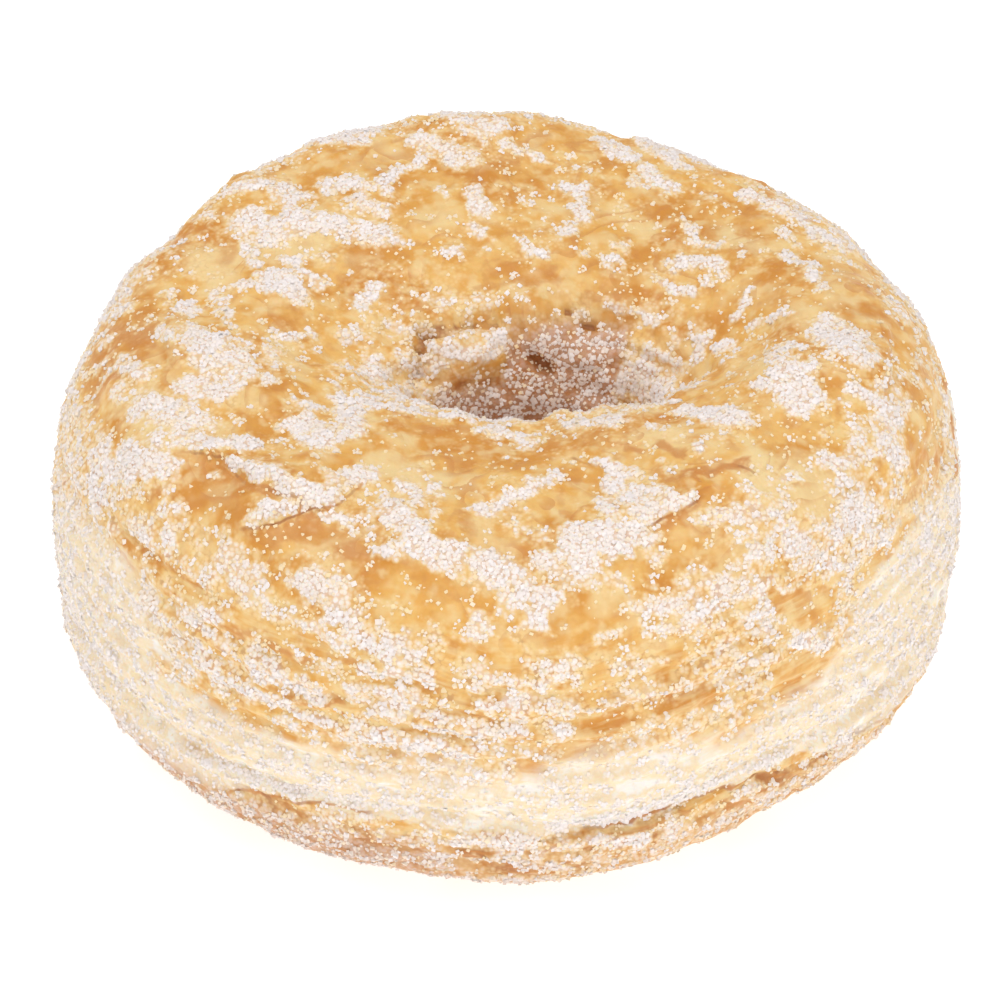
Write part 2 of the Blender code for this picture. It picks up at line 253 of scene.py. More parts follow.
# Sugar on top, in millimetres in plan: start x and y, end x and y, half width, fullness
TOP_DRIFTS = (
    # near left
    (-17.4, -39.4, -16.2, -39.6, 0.8, 0.9), (-9, -41.6, -8, -42.2, 0.8, 0.6),
    (-2.6, -41.9, -1.6, -42.1, 0.6, 0.7), (-25, -36.5, -19.5, -39.8, 1.4, 0.65),
    (-20.5, -37, -17.5, -37.6, 1.2, 0.8), (-17, -38.2, -15.5, -38.8, 1.2, 0.85),
    (-12.4, -35.6, -10.8, -36, 0.9, 0.9), (-9.5, -34.5, -5, -36.6, 1.7, 1), (-4.5, -38, -3, -36, 1, 0.7),
    (-1.5, -37.5, 1, -39.8, 2, 0.95), (-33.8, -28, -32.6, -28.8, 0.9, 0.8),
    (-28.6, -31.2, -28, -33, 1.1, 0.6), (-28.6, -32.2, -23, -36, 1.2, 0.65),
    (-24.2, -30.4, -19.5, -29.4, 1.4, 0.95), (-17.6, -28.2, -16.2, -29, 0.9, 0.9),
    (-17.5, -30.8, -14, -32.6, 1.4, 0.9), (-12, -29.5, -8.5, -34, 1.8, 0.85),
    (-9, -29, -7.4, -30.2, 1, 0.85), (-38, -25.4, -32.5, -26.6, 1, 0.75),
    (-27.5, -23.9, -18.8, -28.6, 1.6, 1), (-24.5, -25, -22.5, -26.5, 1.8, 0.95),
    (-19, -23.8, -18, -25.5, 0.8, 0.5), (-16.5, -26.2, -14, -25.6, 1.7, 0.9),
    (-10.6, -26.8, -9.2, -27.8, 0.9, 0.8), (-10.5, -25, -8, -25.8, 1.3, 0.35),
    (-7.5, -26, -7, -28.5, 0.8, 0.6), (-39.4, -18.5, -34, -22.3, 1.8, 0.95),
    (-34.6, -18.3, -29, -20.6, 1.4, 0.75), (-27.4, -20.2, -25.2, -20.9, 1.1, 0.95),
    (-20.8, -17.9, -18.5, -20, 2.2, 1), (-43.5, -12, -39.5, -22, 1.6, 0.6),
    (-36.5, -13.5, -31, -17, 2.6, 0.75), (-32, -11, -29.5, -12, 2.2, 0.95),
    (-25.4, -10, -24, -10.8, 0.9, 0.8), (-22, -14.6, -19, -15, 1.1, 0.6),
    (-17.8, -9.5, -16.5, -12, 1.1, 0.75), (-16.2, -13.5, -15.6, -18, 1.7, 0.95),
    (-39.5, -6.4, -37, -8.6, 1.3, 0.9), (-28, -5.5, -27, -10.5, 2, 0.75),
    (-24.5, -4, -24, -8.5, 1.3, 0.55), (-31.5, -2.6, -29.5, -7, 2.7, 0.95),
    # near right
    (2.4, -42, 3.6, -42.2, 0.8, 0.9), (13.2, -41, 14.4, -40.8, 0.6, 0.6),
    (15.5, -40.2, 23.5, -36.5, 1.1, 0.8), (-1, -39, 4.2, -40.4, 1.4, 0.95),
    (0.5, -33, 3.5, -34.5, 1.2, 0.5), (3, -37, 6.5, -38.5, 1.3, 0.7), (6.5, -36.5, 8.5, -35.5, 1.7, 1),
    (7, -34.5, 10.8, -34.8, 2.1, 1), (7.6, -37, 9.8, -36.8, 1.2, 1), (9, -37.6, 10.2, -37, 1, 0.95),
    (12.8, -33.4, 14.2, -34.6, 1, 0.85), (14.2, -38.2, 15, -37.9, 0.6, 0.6),
    (22.5, -36.7, 29.5, -34, 1.2, 0.8), (23, -34.4, 25, -33.4, 1, 0.8),
    (25.3, -35.9, 26.2, -36.7, 1.2, 0.8), (-2.6, -30, 4.4, -26, 1.15, 1),
    (9.4, -30.6, 10.4, -32, 1.3, 0.9), (11.6, -28, 14, -30.5, 3.1, 0.88),
    (15, -31.3, 17.6, -29.4, 1.6, 0.88), (18.5, -32, 23, -31.6, 1, 0.8),
    (23.5, -29, 25.5, -30.5, 1.3, 0.75), (27.8, -32.2, 31.5, -31.6, 1.6, 0.85),
    (31.5, -31.2, 34.8, -29.8, 1.2, 0.8), (9.6, -24.3, 10.8, -26.2, 1.2, 0.85),
    (15.3, -25, 15.8, -25.8, 0.6, 0.6), (17.3, -23.5, 18.8, -24, 0.7, 0.85),
    (28, -26.8, 29, -27, 0.9, 0.6), (31, -21.2, 31.6, -21.4, 0.6, 0.6), (32, -24, 32.6, -25.2, 0.7, 0.95),
    (35.3, -21.8, 37.8, -21, 0.9, 0.75), (38.5, -23.8, 32, -28.8, 1.5, 0.85),
    (18.2, -16.8, 23.3, -20.3, 1.7, 0.98), (33.5, -17, 35, -19.5, 0.9, 0.5),
    (25.5, -15, 27, -15.4, 1, 0.9), (27.2, -10.5, 29.5, -12, 1.5, 0.8), (29, -13.3, 29.4, -17, 2.6, 1),
    (35.2, -14.8, 36.8, -15.4, 1, 0.9), (38.5, -14.5, 38, -20, 1.9, 0.8),
    (39.5, -10.5, 38, -14, 1.2, 0.55), (28.2, -8.4, 29.6, -8.8, 0.9, 0.85),
    (33, -5.5, 35.3, -9.3, 2.5, 1),
    # round the hole
    (0, -22, 1.5, -20.5, 0.7, 0.4), (-2.2, -16.6, 2.3, -19.2, 1.2, 0.85),
    (-2, -15.6, 4.8, -15.2, 0.7, 0.9), (2.5, -15.4, 8.4, -16.6, 0.5, 0.9),
    (4.8, -15.4, 10.8, -16.9, 0.8, 0.95), (6.5, -16.9, 11, -17.4, 1, 0.9),
    (10.5, -15.5, 16.5, -12.4, 1, 0.95), (14.2, -18.8, 14.8, -19.2, 0.7, 0.85),
    (-15.8, -13.2, -11, -12.9, 1, 1), (-14.5, -10.2, -6.8, -12.6, 1.4, 0.97),
    (-13.9, -9.8, -13, -11.6, 1.1, 1), (-11, -12.9, -5.2, -13.6, 0.8, 0.95),
    (-6, -12.9, -0.5, -14.9, 0.5, 0.9), (-5.2, -13.6, -2, -15.8, 0.8, 0.95),
    (18.7, 6.6, 19.4, 6, 0.7, 0.85), (20.3, 6.8, 23.1, 8.4, 0.5, 0.75), (-6.2, 11.8, -4.8, 12, 0.9, 0.9),
    (1.8, 13.9, 3.8, 12.2, 0.9, 0.8), (5.8, 14.9, 7.4, 17, 0.9, 0.8), (8, 12.4, 8.3, 12.4, 0.6, 0.75),
    (10.8, 11.3, 12.2, 10.8, 0.9, 0.85), (11.2, 13.4, 12.4, 13, 0.8, 0.8),
    (12.3, 14.3, 12.6, 14.3, 0.6, 0.7), (14.8, 9.7, 17.8, 7.3, 0.8, 0.85),
    # far left
    (-35.7, -1.2, -35, -2.6, 0.9, 0.85), (-23.5, -2.6, -20, -0.6, 0.7, 0.75),
    (-36, 6, -35.5, 4.2, 0.8, 0.7), (-33.6, 3.6, -33, 1.8, 1.1, 0.9), (-30.5, 5.5, -29.2, 0, 1.1, 0.7),
    (-29, 6, -26.8, 6.6, 0.9, 0.7), (-24.5, 7, -22.5, 5.5, 2.2, 1), (-21.4, 8, -19.4, 7, 1.1, 0.8),
    (-15.6, 5.4, -14.6, 4.6, 0.9, 0.8), (-14.6, 6, -13.8, 7.4, 1, 0.9), (-41.5, 13, -40.5, 5, 1.6, 0.7),
    (-27.5, 13.5, -27, 10.5, 1.4, 0.8), (-22.6, 10.5, -22, 8.5, 1.2, 0.8),
    (-20.6, 11.5, -19, 10.8, 0.9, 0.7), (-12.3, 15, -10.5, 13.6, 0.9, 0.7), (-38, 20, -36, 24, 1.6, 0.65),
    (-32.6, 20, -31.6, 18.6, 0.8, 0.75), (-27.5, 18, -25, 15, 2.7, 0.9),
    (-22.5, 17.5, -14, 14.8, 2.1, 0.92), (-17, 19.5, -15.5, 20.5, 1.4, 0.6),
    (-15.5, 19.3, -13.5, 18.3, 1.1, 0.8), (-4.5, 16.2, -2.2, 15.2, 1, 0.8), (-33, 24, -27, 28, 1.4, 0.55),
    (-30, 24.5, -27, 24, 1.5, 0.9), (-24.5, 23, -22.5, 20.5, 2.3, 0.8), (-19.5, 23.5, -18, 24, 1.9, 0.85),
    (-16.2, 22.9, -14.8, 22.5, 1, 0.9), (-13.5, 24, -13, 21.5, 1.1, 0.85), (-12.4, 25, -8, 29, 0.9, 0.8),
    (-7.5, 22.5, -6.5, 21, 0.7, 0.5), (-3.6, 21.5, -3, 18.5, 1.4, 0.98), (-34, 28, -27, 33, 2, 0.65),
    (-17.2, 31.6, -15.6, 31.4, 1, 0.9), (-9, 31.5, -4.5, 27.5, 2.3, 0.8), (-4.5, 32.5, -3, 31.2, 1, 0.8),
    (-23, 37.5, -16, 38, 1.6, 0.9), (-21.5, 33, -16.5, 33.6, 1.8, 0.85), (-21, 36, -16, 34.8, 2.6, 1),
    (-10, 37, -12, 33, 1.4, 0.35), (-6, 37.5, -2, 34, 2.6, 0.8),
    # far right
    (24, 2.2, 25.4, 4.2, 0.8, 0.9), (25.8, -0.6, 28.8, -1.7, 0.9, 0.85), (40.5, -0.5, 42, 0.5, 1.4, 0.5),
    (31.6, 7.5, 32.4, 2.8, 1.1, 0.82), (18.2, 10.8, 22, 9.8, 1.5, 0.9), (21, 13.8, 22.6, 12.8, 0.9, 0.8),
    (29.5, 14.5, 30.5, 12, 0.9, 0.65), (29.6, 9.8, 30.6, 8.6, 0.9, 0.8), (32.8, 14.5, 35.8, 12, 1.6, 0.8),
    (35, 9.5, 37.5, 8.7, 1, 0.55), (12, 20.5, 13, 19.5, 0.8, 0.45), (19.6, 17.5, 20.3, 13.5, 0.9, 0.75),
    (38.5, 18, 42, 6, 1.8, 0.45), (6, 24, 8, 23, 1.3, 0.9), (7.2, 21, 8.3, 18.2, 1.6, 0.92),
    (13.3, 25.4, 15, 24.2, 0.9, 0.8), (20.5, 24, 23, 22, 1, 0.5), (26.3, 22.8, 32, 17.5, 1.5, 0.9),
    (31, 25, 38, 19, 1.8, 0.55), (-0.2, 30.5, 1, 29.6, 0.9, 0.75), (2.6, 29.6, 4, 27.8, 1, 0.85),
    (15.3, 27.5, 17.5, 24.3, 1.4, 0.9), (17.5, 30.2, 19.2, 28.2, 1, 0.85), (3, 38, 10, 37, 1.8, 0.45),
    (10.8, 33, 13, 30, 1.6, 0.95), (16.2, 33.4, 21.5, 31.5, 2.4, 0.95), (24, 36, 32, 30, 1.4, 0.45),
)

# Places without sugar, as for the drifts
TOP_CLEAN = (
    # near left
    (-14.2, -41, -13, -41.2, 0.8, 0.7), (-8.8, -40.8, -7.8, -41.2, 0.8, 0.8),
    (-6.6, -40.2, -2, -40.6, 1, 0.75), (-5.6, -41.2, -4.2, -41.6, 0.8, 0.8),
    (-0.7, -42.6, 0.5, -42.6, 0.6, 0.8), (-22.3, -37.2, -20.2, -38, 0.9, 0.8),
    (-15.6, -35, -14.2, -35.6, 0.9, 0.9), (-15.2, -36.6, -13.8, -36.8, 0.8, 0.8),
    (-13, -38, -11.8, -38.8, 1.2, 0.9), (-4.8, -33.6, -4, -34.2, 0.8, 0.7),
    (-30.2, -31, -29, -31.8, 1, 0.8), (-28.4, -27.4, -27.4, -28.2, 0.8, 0.7),
    (-21.5, -32.6, -17.5, -33.4, 1.8, 0.9), (-20.6, -32.5, -19.6, -32.7, 0.7, 0.7),
    (-14.3, -32.5, -13.2, -32.6, 0.7, 0.7), (-36.8, -24.2, -35, -25, 1, 0.9),
    (-26.6, -25.4, -25.5, -28, 1, 0.9), (-20, -26, -19, -26.4, 0.7, 0.8),
    (-38.9, -16.2, -37.9, -16.6, 0.8, 0.7), (-23.2, -18.4, -22.4, -19, 0.8, 0.7),
    (-10, -19, -4, -21, 2.2, 0.6), (-39.9, -14.9, -39, -15.1, 0.8, 0.7),
    (-41.8, -8.6, -40.6, -7.6, 1, 0.8), (-38.4, -3.4, -37.6, -3, 1.1, 0.9),
    (-44.6, -2.5, -43.5, -5.5, 1.6, 0.7),
    # near right
    (5, -42, 7.6, -40.8, 1.2, 0.9), (11.2, -37.2, 12.4, -36.8, 0.8, 0.9),
    (16.5, -34.5, 20.5, -35.2, 1.2, 0.75), (24, -35, 25.6, -35.2, 0.8, 0.6),
    (6.8, -27.2, 7.6, -27.8, 0.8, 0.8), (7.8, -28.3, 8.8, -28.4, 0.8, 0.7),
    (12.8, -27.6, 14, -28, 0.8, 0.6), (17, -28.6, 18, -28, 0.8, 0.8),
    (19.2, -29.8, 20.6, -28.8, 0.9, 0.9), (31, -28.6, 31.2, -27.8, 0.9, 0.7),
    (5.3, -25.4, 6.2, -26, 0.8, 0.8), (12, -22.5, 12.8, -22.9, 0.8, 0.7),
    (12.6, -24, 13.4, -24.4, 0.9, 0.7), (15.4, -22.9, 17, -24.5, 1.3, 1),
    (15.4, -23.3, 16.6, -23.7, 0.8, 0.7), (20, -25, 25, -24.6, 1.2, 0.6),
    (23.6, -21.4, 24.8, -22.2, 0.9, 0.8), (37.2, -22, 38.4, -21.8, 0.8, 0.7),
    (43.4, -9.4, 43, -8, 1.3, 0.9),
    # round the hole
    (-3, 9, 7, 10, 1.6, 0.85), (15, 9.6, 16.2, 9.2, 0.8, 0.7),
    # far left
    (-44, -2, -43, -1.2, 1.2, 0.9), (-40.8, -2, -38.6, -3.2, 1.2, 0.8),
    (-31.4, -0.8, -30, -1.4, 0.9, 0.8), (-22, 20.4, -21.4, 21, 0.8, 0.7),
    # far right
    (25, 5.4, 26.4, 5.8, 1, 0.7), (6.2, 20.8, 7.4, 20.8, 0.8, 0.7), (-0.4, 25.6, 4, 26, 1.8, 0.9),
    (3, 33, 8, 34, 1.8, 0.7), (13, 36.6, 15, 36.6, 1.2, 0.9),
)
SIDE_CLEAN = (
    (182, 37.8, 188, 37.4, 0.9, 0.6), (218, 34, 221, 33.4, 0.9, 0.6), (223, 34.2, 227, 33.8, 1, 0.7),
    (233.5, 32, 236.5, 31.8, 0.8, 0.7), (246, 33.8, 250, 33.4, 0.8, 0.6),
    (256.5, 32.2, 259.5, 32, 0.7, 0.7), (263, 30.6, 266, 30.6, 0.5, 0.5), (290, 27.4, 297, 27, 1.2, 0.8),
    (321, 30.9, 333, 31.8, 0.9, 0.8), (321, 31, 324, 30.6, 0.9, 0.6), (329, 31.6, 332, 31.4, 1, 0.6),
    (350, 28, 358, 34, 2, 0.9), (351, 31.9, 355, 31.9, 0.8, 0.6),
)
HOLE_CLEAN = (
    (0, 37.4, 8, 37.4, 1, 0.8), (22, 37.6, 27, 37.6, 0.6, 0.7), (24, 38.3, 28, 38.4, 0.6, 0.7),
    (52, 41, 57, 41.2, 0.7, 0.7), (70, 38, 71.5, 38, 0.3, 0.9), (70, 40, 76, 40.1, 0.5, 0.8),
    (78, 38.8, 79, 38.8, 0.25, 0.9), (81, 39.2, 87, 39.4, 0.7, 0.9), (84, 33.5, 88, 34.4, 0.8, 1),
    (93.5, 38.4, 98, 38.8, 0.6, 0.8), (103, 38.1, 108, 38.2, 0.5, 0.8), (115, 33.2, 135, 33.6, 0.7, 0.6),
    (126, 40.1, 130, 40.1, 0.6, 0.7), (150, 38.2, 156, 38.2, 0.7, 0.7),
)

# Sugar round the side: start bearing in degrees and height in millimetres, end bearing and
# height, half width in millimetres, fullness
SIDE_DRIFTS = (
    (0, 26, 14, 24, 5, 0.55), (190, 34, 198, 12, 7, 0.6), (198, 32, 206, 10, 6, 0.62),
    (200, 39, 206, 35, 2.4, 0.9), (206, 9, 230, 7, 2.8, 0.72), (208, 29, 214, 10, 5.5, 0.58),
    (211, 39, 216, 37, 1.5, 0.75), (213, 35.6, 222, 35.4, 0.7, 0.85), (218, 10, 232, 10, 3.4, 0.55),
    (219, 20, 233, 18, 3, 0.58), (219, 30, 231, 27, 2, 0.66), (223, 39, 229, 38, 1.7, 0.92),
    (225, 31.6, 231, 30.4, 1, 0.8), (228, 13.6, 248, 16, 0.9, 0.85), (229, 32.8, 232.5, 32.4, 1, 0.9),
    (231, 26.2, 243, 26.4, 1, 0.8), (232, 9, 262, 9.4, 2.2, 0.66), (232, 36.6, 236, 35.4, 0.9, 0.8),
    (234, 10.2, 262, 9, 2.6, 0.58), (236, 5, 276, 4.8, 1.7, 0.72), (236, 13.8, 250, 15.6, 1.3, 0.85),
    (238, 29.4, 247, 29, 1.4, 0.85), (239, 40, 246, 39, 1.5, 0.9), (240, 19, 258, 17, 2.2, 0.62),
    (241, 24.2, 247, 24, 0.8, 0.6), (243, 26.2, 247, 25.8, 0.9, 0.85), (243, 33, 250, 34, 0.8, 0.55),
    (245, 35.6, 249, 35, 0.8, 0.75), (247, 38.6, 250, 38, 0.9, 0.75), (250, 16.4, 264, 15, 1, 0.8),
    (250, 26, 267, 25.6, 1.1, 0.72), (250, 36.6, 258, 35, 1.5, 0.88), (251, 29.2, 257, 28.8, 0.9, 0.8),
    (251, 30.6, 261, 29, 1, 0.7), (252, 33, 261, 32.8, 0.8, 0.75), (254, 30.9, 258, 30.7, 1, 0.9),
    (256, 22.5, 270, 23, 0.9, 0.55), (256, 33.4, 261, 33, 0.8, 0.8), (260, 29, 264, 28.6, 0.9, 0.9),
    (261, 12.4, 265, 12.2, 0.7, 0.85), (262, 9.6, 272, 10.4, 0.5, 0.8), (262, 39, 266, 37.6, 0.9, 0.75),
    (264, 13.2, 274, 13.4, 0.9, 0.75), (264, 28.4, 271, 27.4, 1.2, 0.75),
    (265, 32.8, 268, 32.6, 0.6, 0.7), (266.2, 30.7, 268.4, 30.6, 0.7, 0.95),
    (268, 19, 280, 18, 1.6, 0.45), (268, 33.4, 272, 33, 0.9, 0.75), (268, 39, 271, 37.4, 0.9, 0.75),
    (270, 12.6, 273, 12, 1.2, 0.85), (270, 31, 278, 29.6, 1.3, 0.72), (272, 8.8, 276, 8.4, 0.9, 0.85),
    (273, 32.6, 275, 32.4, 0.7, 0.85), (273, 34.6, 280, 34, 1, 0.72), (275, 26.4, 290, 24.4, 0.8, 0.4),
    (275, 27.8, 277.5, 27.4, 0.7, 0.85), (275.5, 33, 279, 32.6, 0.7, 0.75), (276, 15, 312, 14.8, 0.8, 1),
    (280, 8.8, 320, 9.4, 1.7, 0.56), (280, 29, 284, 28.6, 0.8, 0.7), (281, 12.4, 287, 11, 1.3, 0.85),
    (281, 36.6, 285, 36, 0.8, 0.6), (282, 4.4, 322, 6, 1.2, 0.5), (283, 17, 296, 16.6, 1.3, 0.6),
    (284, 33, 290, 32.4, 0.9, 0.6), (286, 38.6, 292, 37.6, 1, 0.9), (290, 24, 305, 23, 1, 0.45),
    (292, 35, 298, 34, 0.9, 0.6), (295, 39, 300, 37.6, 1, 0.75), (298, 30.6, 304, 31, 0.8, 0.5),
    (300, 12.4, 305, 12, 0.8, 0.7), (300, 18, 316, 19, 2.4, 0.55), (300, 29, 304, 28.6, 0.8, 0.7),
    (301, 33.6, 305, 33, 0.8, 0.8), (303, 31.8, 306, 32, 0.8, 0.9), (303, 39, 305, 34, 1.1, 0.75),
    (308, 29.6, 313, 27, 1.3, 0.85), (308, 34.8, 312, 33.8, 0.6, 0.5), (312, 12.4, 318, 11.6, 0.9, 0.7),
    (315, 33.8, 319, 33.4, 0.9, 0.9), (316, 39, 323, 37, 1.6, 0.9), (318, 27, 330, 20, 4, 0.58),
    (322, 34, 327, 32, 1.3, 0.88), (326, 14, 340, 12, 5, 0.58), (328, 37.4, 331, 36, 1.1, 0.6),
    (334, 28, 350, 22, 6, 0.6), (345, 20, 359, 24, 4, 0.5),
)

# Sugar in the hole: bearing and height, as for the side
HOLE_DRIFTS = (
    (0, 33.6, 42, 34, 2.1, 0.95), (7, 39.6, 12, 39.6, 0.8, 0.95), (12, 35.6, 46, 35.8, 1.3, 0.55),
    (14, 38, 24, 39.2, 0.6, 0.85), (22, 37, 43, 37, 0.6, 0.8), (38, 32, 84, 32, 2.4, 0.5),
    (40, 35.2, 78, 35.4, 1.4, 0.6), (48, 39.2, 56, 39.6, 0.5, 0.7), (57, 39.4, 63, 39.6, 0.5, 0.7),
    (58, 38.2, 66, 38.2, 0.5, 0.6), (60, 28, 130, 28, 2, 0.45), (81, 40.3, 86, 40.5, 0.4, 0.7),
    (84, 36.4, 90, 36.4, 0.8, 0.85), (84, 40, 92, 40.2, 0.4, 0.5), (94, 33.4, 104, 33.6, 0.8, 0.6),
    (96, 41, 112, 40.8, 0.7, 0.8), (104, 36.4, 152, 35.9, 1.4, 0.72), (106, 39.6, 120, 39.8, 0.6, 0.75),
    (120, 32.6, 130, 33, 0.7, 0.75), (120, 40.9, 140, 40.6, 0.8, 0.7), (122, 33.4, 130, 33.6, 0.8, 0.9),
    (130, 38.5, 146, 38.7, 0.7, 0.6), (152, 37.4, 190, 37.6, 1.3, 0.75), (155, 40, 160, 40.2, 0.8, 1),
    (160, 34, 200, 36, 1.6, 0.6), (200, 38, 250, 38.6, 1, 0.85), (220, 41.1, 238, 41.1, 1.2, 1),
    (232, 41.2, 249, 40.6, 0.8, 0.95), (249, 40.6, 258, 41.2, 0.7, 0.95),
    (250, 37.6, 300, 38.4, 1.2, 0.85), (258, 41, 276, 41, 0.6, 0.95), (276, 41.2, 292, 41.8, 0.7, 0.95),
    (300, 38, 345, 37, 1.3, 0.8), (345, 33, 360, 33, 2.2, 0.9),
)
# Folds of the hole's wall: bearing and height, half width and depth in millimetres, a ridge
# with its depth below nothing
HOLE_FOLDS = (
    (112, 38, 130, 38, 0.5, 1), (130, 38, 141, 37, 0.5, 1), (141, 37, 152, 35.4, 0.5, 0.9),
    (152, 35.4, 162, 34.4, 0.5, 0.7), (103, 38, 108, 38.1, 0.6, 1.2), (85, 33.4, 90, 34.8, 0.6, 1.4),
    (70, 38, 71.5, 38, 0.4, 0.8), (78, 38.8, 79, 38.8, 0.3, 0.7), (86, 36, 92, 40, 1.2, -0.8),
    (40, 36.2, 66, 36.6, 0.4, 0.5), (20, 36, 40, 36, 0.4, 0.4), (60, 33.8, 78, 33.6, 0.5, 0.5),
)
# Brown on the hole's wall, as for the drifts: partly its browning, partly painted shade in its folds and
# deep down.
HOLE_BROWN_AND_SHADE = (
    (40, 30.6, 95, 31, 1.9, 0.7), (52, 36, 80, 36, 1.4, 0.45), (70, 38, 71.5, 38, 0.3, 0.75),
    (78, 38.8, 79, 38.8, 0.25, 0.7), (85, 33.4, 90, 34.8, 0.9, 1), (95, 31.6, 160, 31.6, 2, 0.95),
    (103, 37.8, 108, 37.9, 0.5, 0.55), (112, 38, 130, 38, 0.45, 0.9), (130, 38, 141, 37, 0.45, 0.9),
    (141, 37, 162, 34.4, 0.45, 0.9),
)

# Stains of the crust, in millimetres in plan, as for the drifts: first pale, then toasted. Some of the
# toasted ones are painted shade on the low side of folds.
PALE_STAINS = (
    # near left
    (-11, -36.5, -8, -37, 1.5, 0.45), (-13, -24.5, -7, -26, 3, 0.9), (-39, -12, -36, -11, 1.8, 0.7),
    (-36, -14, -30, -19, 3.2, 0.95), (-26, -14, -24, -16, 1.5, 0.3), (-36, -4, -35, -6, 1.8, 0.4),
    (-22, -7, -24, -3, 2.2, 0.6),
    # near right
    (17, -34.5, 22, -33.8, 1.6, 0.4), (6, -29, 9, -30, 1.2, 0.3), (20, -22, 13, -20, 2, 0.6),
    (25, -27, 30, -27.5, 3.6, 0.95), (34, -25, 31, -24, 1.6, 0.45),
    # round the hole
    (8, -20, 12, -22, 2, 0.45), (24, -7, 25, -10, 2.6, 0.55),
    # far left
    (-32, 12, -31, 9, 3, 0.7), (-20, 15, -24, 12, 3.2, 0.85), (-9, 19, -7, 17, 2, 0.55),
    (-16, 27, -12, 29, 2.2, 0.55),
    # far right
    (28, -4, 30, -1, 2, 0.45), (40, 2, 43, -4, 2.4, 0.4), (25, 6, 28, 2.5, 2.4, 0.5),
    (31.5, 5, 36, 0, 2.8, 0.55), (23, 15, 27, 12, 2.6, 0.5), (34, 14, 37, 6, 2.8, 0.6),
    (3, 20.5, 4, 19, 1.6, 0.6), (14, 17, 12, 19, 2.6, 0.65),
)
TOASTED_AND_SHADED_STAINS = (
    # near left
    (-7.5, -39.8, -2, -40.2, 1.3, 0.5), (-3, -43, 1, -42.8, 0.9, 0.55),
    (-22, -37.4, -19, -38.6, 1.3, 0.5), (-22, -33, -18.5, -32.2, 1.3, 0.7),
    (-16, -35.2, -12, -35.8, 1.1, 0.75), (-24, -32.5, -15, -33.8, 1.2, 0.55),
    (-19, -30.5, -18, -30.2, 1.4, 0.9), (-4, -31, -3.2, -33.5, 1, 0.6), (-36, -24, -33, -25, 0.7, 0.75),
    (-30, -22.5, -26.5, -29.5, 1.9, 0.6), (-22.5, -27, -19.5, -29.5, 0.6, 0.6),
    (-19.8, -26.6, -19.2, -26, 0.5, 0.55), (-5.2, -22.5, -4, -24, 1.2, 0.6),
    (-42, -17, -38, -14, 1, 0.55), (-7.8, -20.5, -7.4, -22.5, 0.7, 0.55),
    (-43.6, -8, -42.2, -9.6, 1.6, 0.7), (-43, -6.5, -40.5, -7.5, 1.4, 0.85),
    (-44.5, -3, -42.2, -4.5, 2.4, 0.8), (-38.6, -2.6, -36.8, -3.6, 0.9, 0.7),
    # near right
    (14.5, -33.2, 19.5, -28.6, 0.5, 0.85), (5.5, -31, 6.3, -33, 0.8, 0.65),
    (19.2, -29.6, 20.4, -28.8, 0.6, 0.6), (5, -25, 8.5, -27, 1.6, 0.5), (5.2, -26, 6.6, -26.2, 0.8, 0.8),
    (12, -22.4, 13.2, -22.8, 0.8, 0.8), (14.5, -26, 17, -27.5, 0.9, 0.6),
    (15.4, -22.4, 16.8, -23.8, 0.9, 0.8), (17.5, -26.8, 23.5, -26, 0.7, 0.95),
    (25, -17, 26, -23, 1.8, 0.4), (43, -7, 41, -12, 1.6, 0.6),
    # round the hole
    (-9, -17.5, -5, -16.8, 0.8, 0.45), (11.5, -15.5, 14, -16.8, 0.8, 0.45), (-3, 7.6, 1, 8.6, 0.9, 0.6),
    (2, 8.6, 5, 9.6, 1.6, 0.7), (9, 7, 12, 6.6, 0.9, 0.6),
    # far left
    (-44, -3, -43.5, 4, 1.7, 0.85), (-44, -1, -42, -2, 1.6, 0.8), (-40.5, 0.5, -38, -1.5, 2.4, 0.8),
    (-42.8, 3.6, -41.8, 0, 1.8, 0.7), (-16, 10.5, -14, 12.5, 1.7, 0.6), (-18, 27, -15, 26.5, 1.1, 0.4),
    (-26.5, 29, -22, 28, 1.6, 0.45), (-11, 33.5, -12, 32, 1.2, 0.6),
    # far right
    (22.5, 5, 28, 4.5, 1.6, 0.45), (0, 20, 4, 23, 1.5, 0.5), (24, 20, 28, 18, 1.2, 0.5),
    (-1, 27, 4, 33, 1.8, 0.6), (7, 25, 10, 17.5, 0.7, 0.55), (20.5, 24, 22.5, 23, 1.2, 0.65),
    (13.2, 36.6, 15.2, 36.6, 1.1, 0.8), (24, 33, 23.5, 28, 1.8, 0.6),
)
SIDE_GOLD = (
    (208, 23, 213, 24, 1, 0.45), (208, 38.4, 214, 37.6, 1, 0.9), (210, 33.6, 230, 33.6, 0.9, 0.95),
    (222, 23.4, 229, 23.4, 1.1, 0.75), (226, 15, 232, 15.6, 1.4, 0.55), (232, 32, 244, 32, 1.3, 0.95),
    (233, 24, 246, 23.6, 1.7, 0.8), (250, 21.2, 262, 22, 0.6, 0.45), (322, 30.9, 332, 31.7, 0.9, 0.8),
    (349, 28.5, 358, 34, 2, 1),
)
SIDE_TOASTED = (
    (212, 34.6, 228, 34.4, 0.5, 0.7), (232, 32, 246, 32.2, 0.9, 0.75), (243, 27.8, 249, 28.6, 0.8, 0.9),
    (247, 33.4, 262, 32, 0.6, 0.7), (255, 25.2, 262, 25, 0.5, 0.6), (262, 30, 269, 29, 0.6, 0.8),
    (264, 26.8, 272, 26.6, 0.6, 0.75), (280, 28.8, 300, 28.4, 0.8, 0.8), (282, 25.4, 296, 25.4, 0.4, 0.4),
    (282, 31.2, 292, 31, 0.4, 0.5), (286, 36, 290, 34, 0.7, 0.5), (301, 29, 312, 28, 0.6, 0.5),
    (309, 35.5, 311, 32.5, 0.8, 0.6), (328, 35, 336, 33.6, 0.8, 0.6), (349, 28, 357, 33, 1.9, 0.9),
)
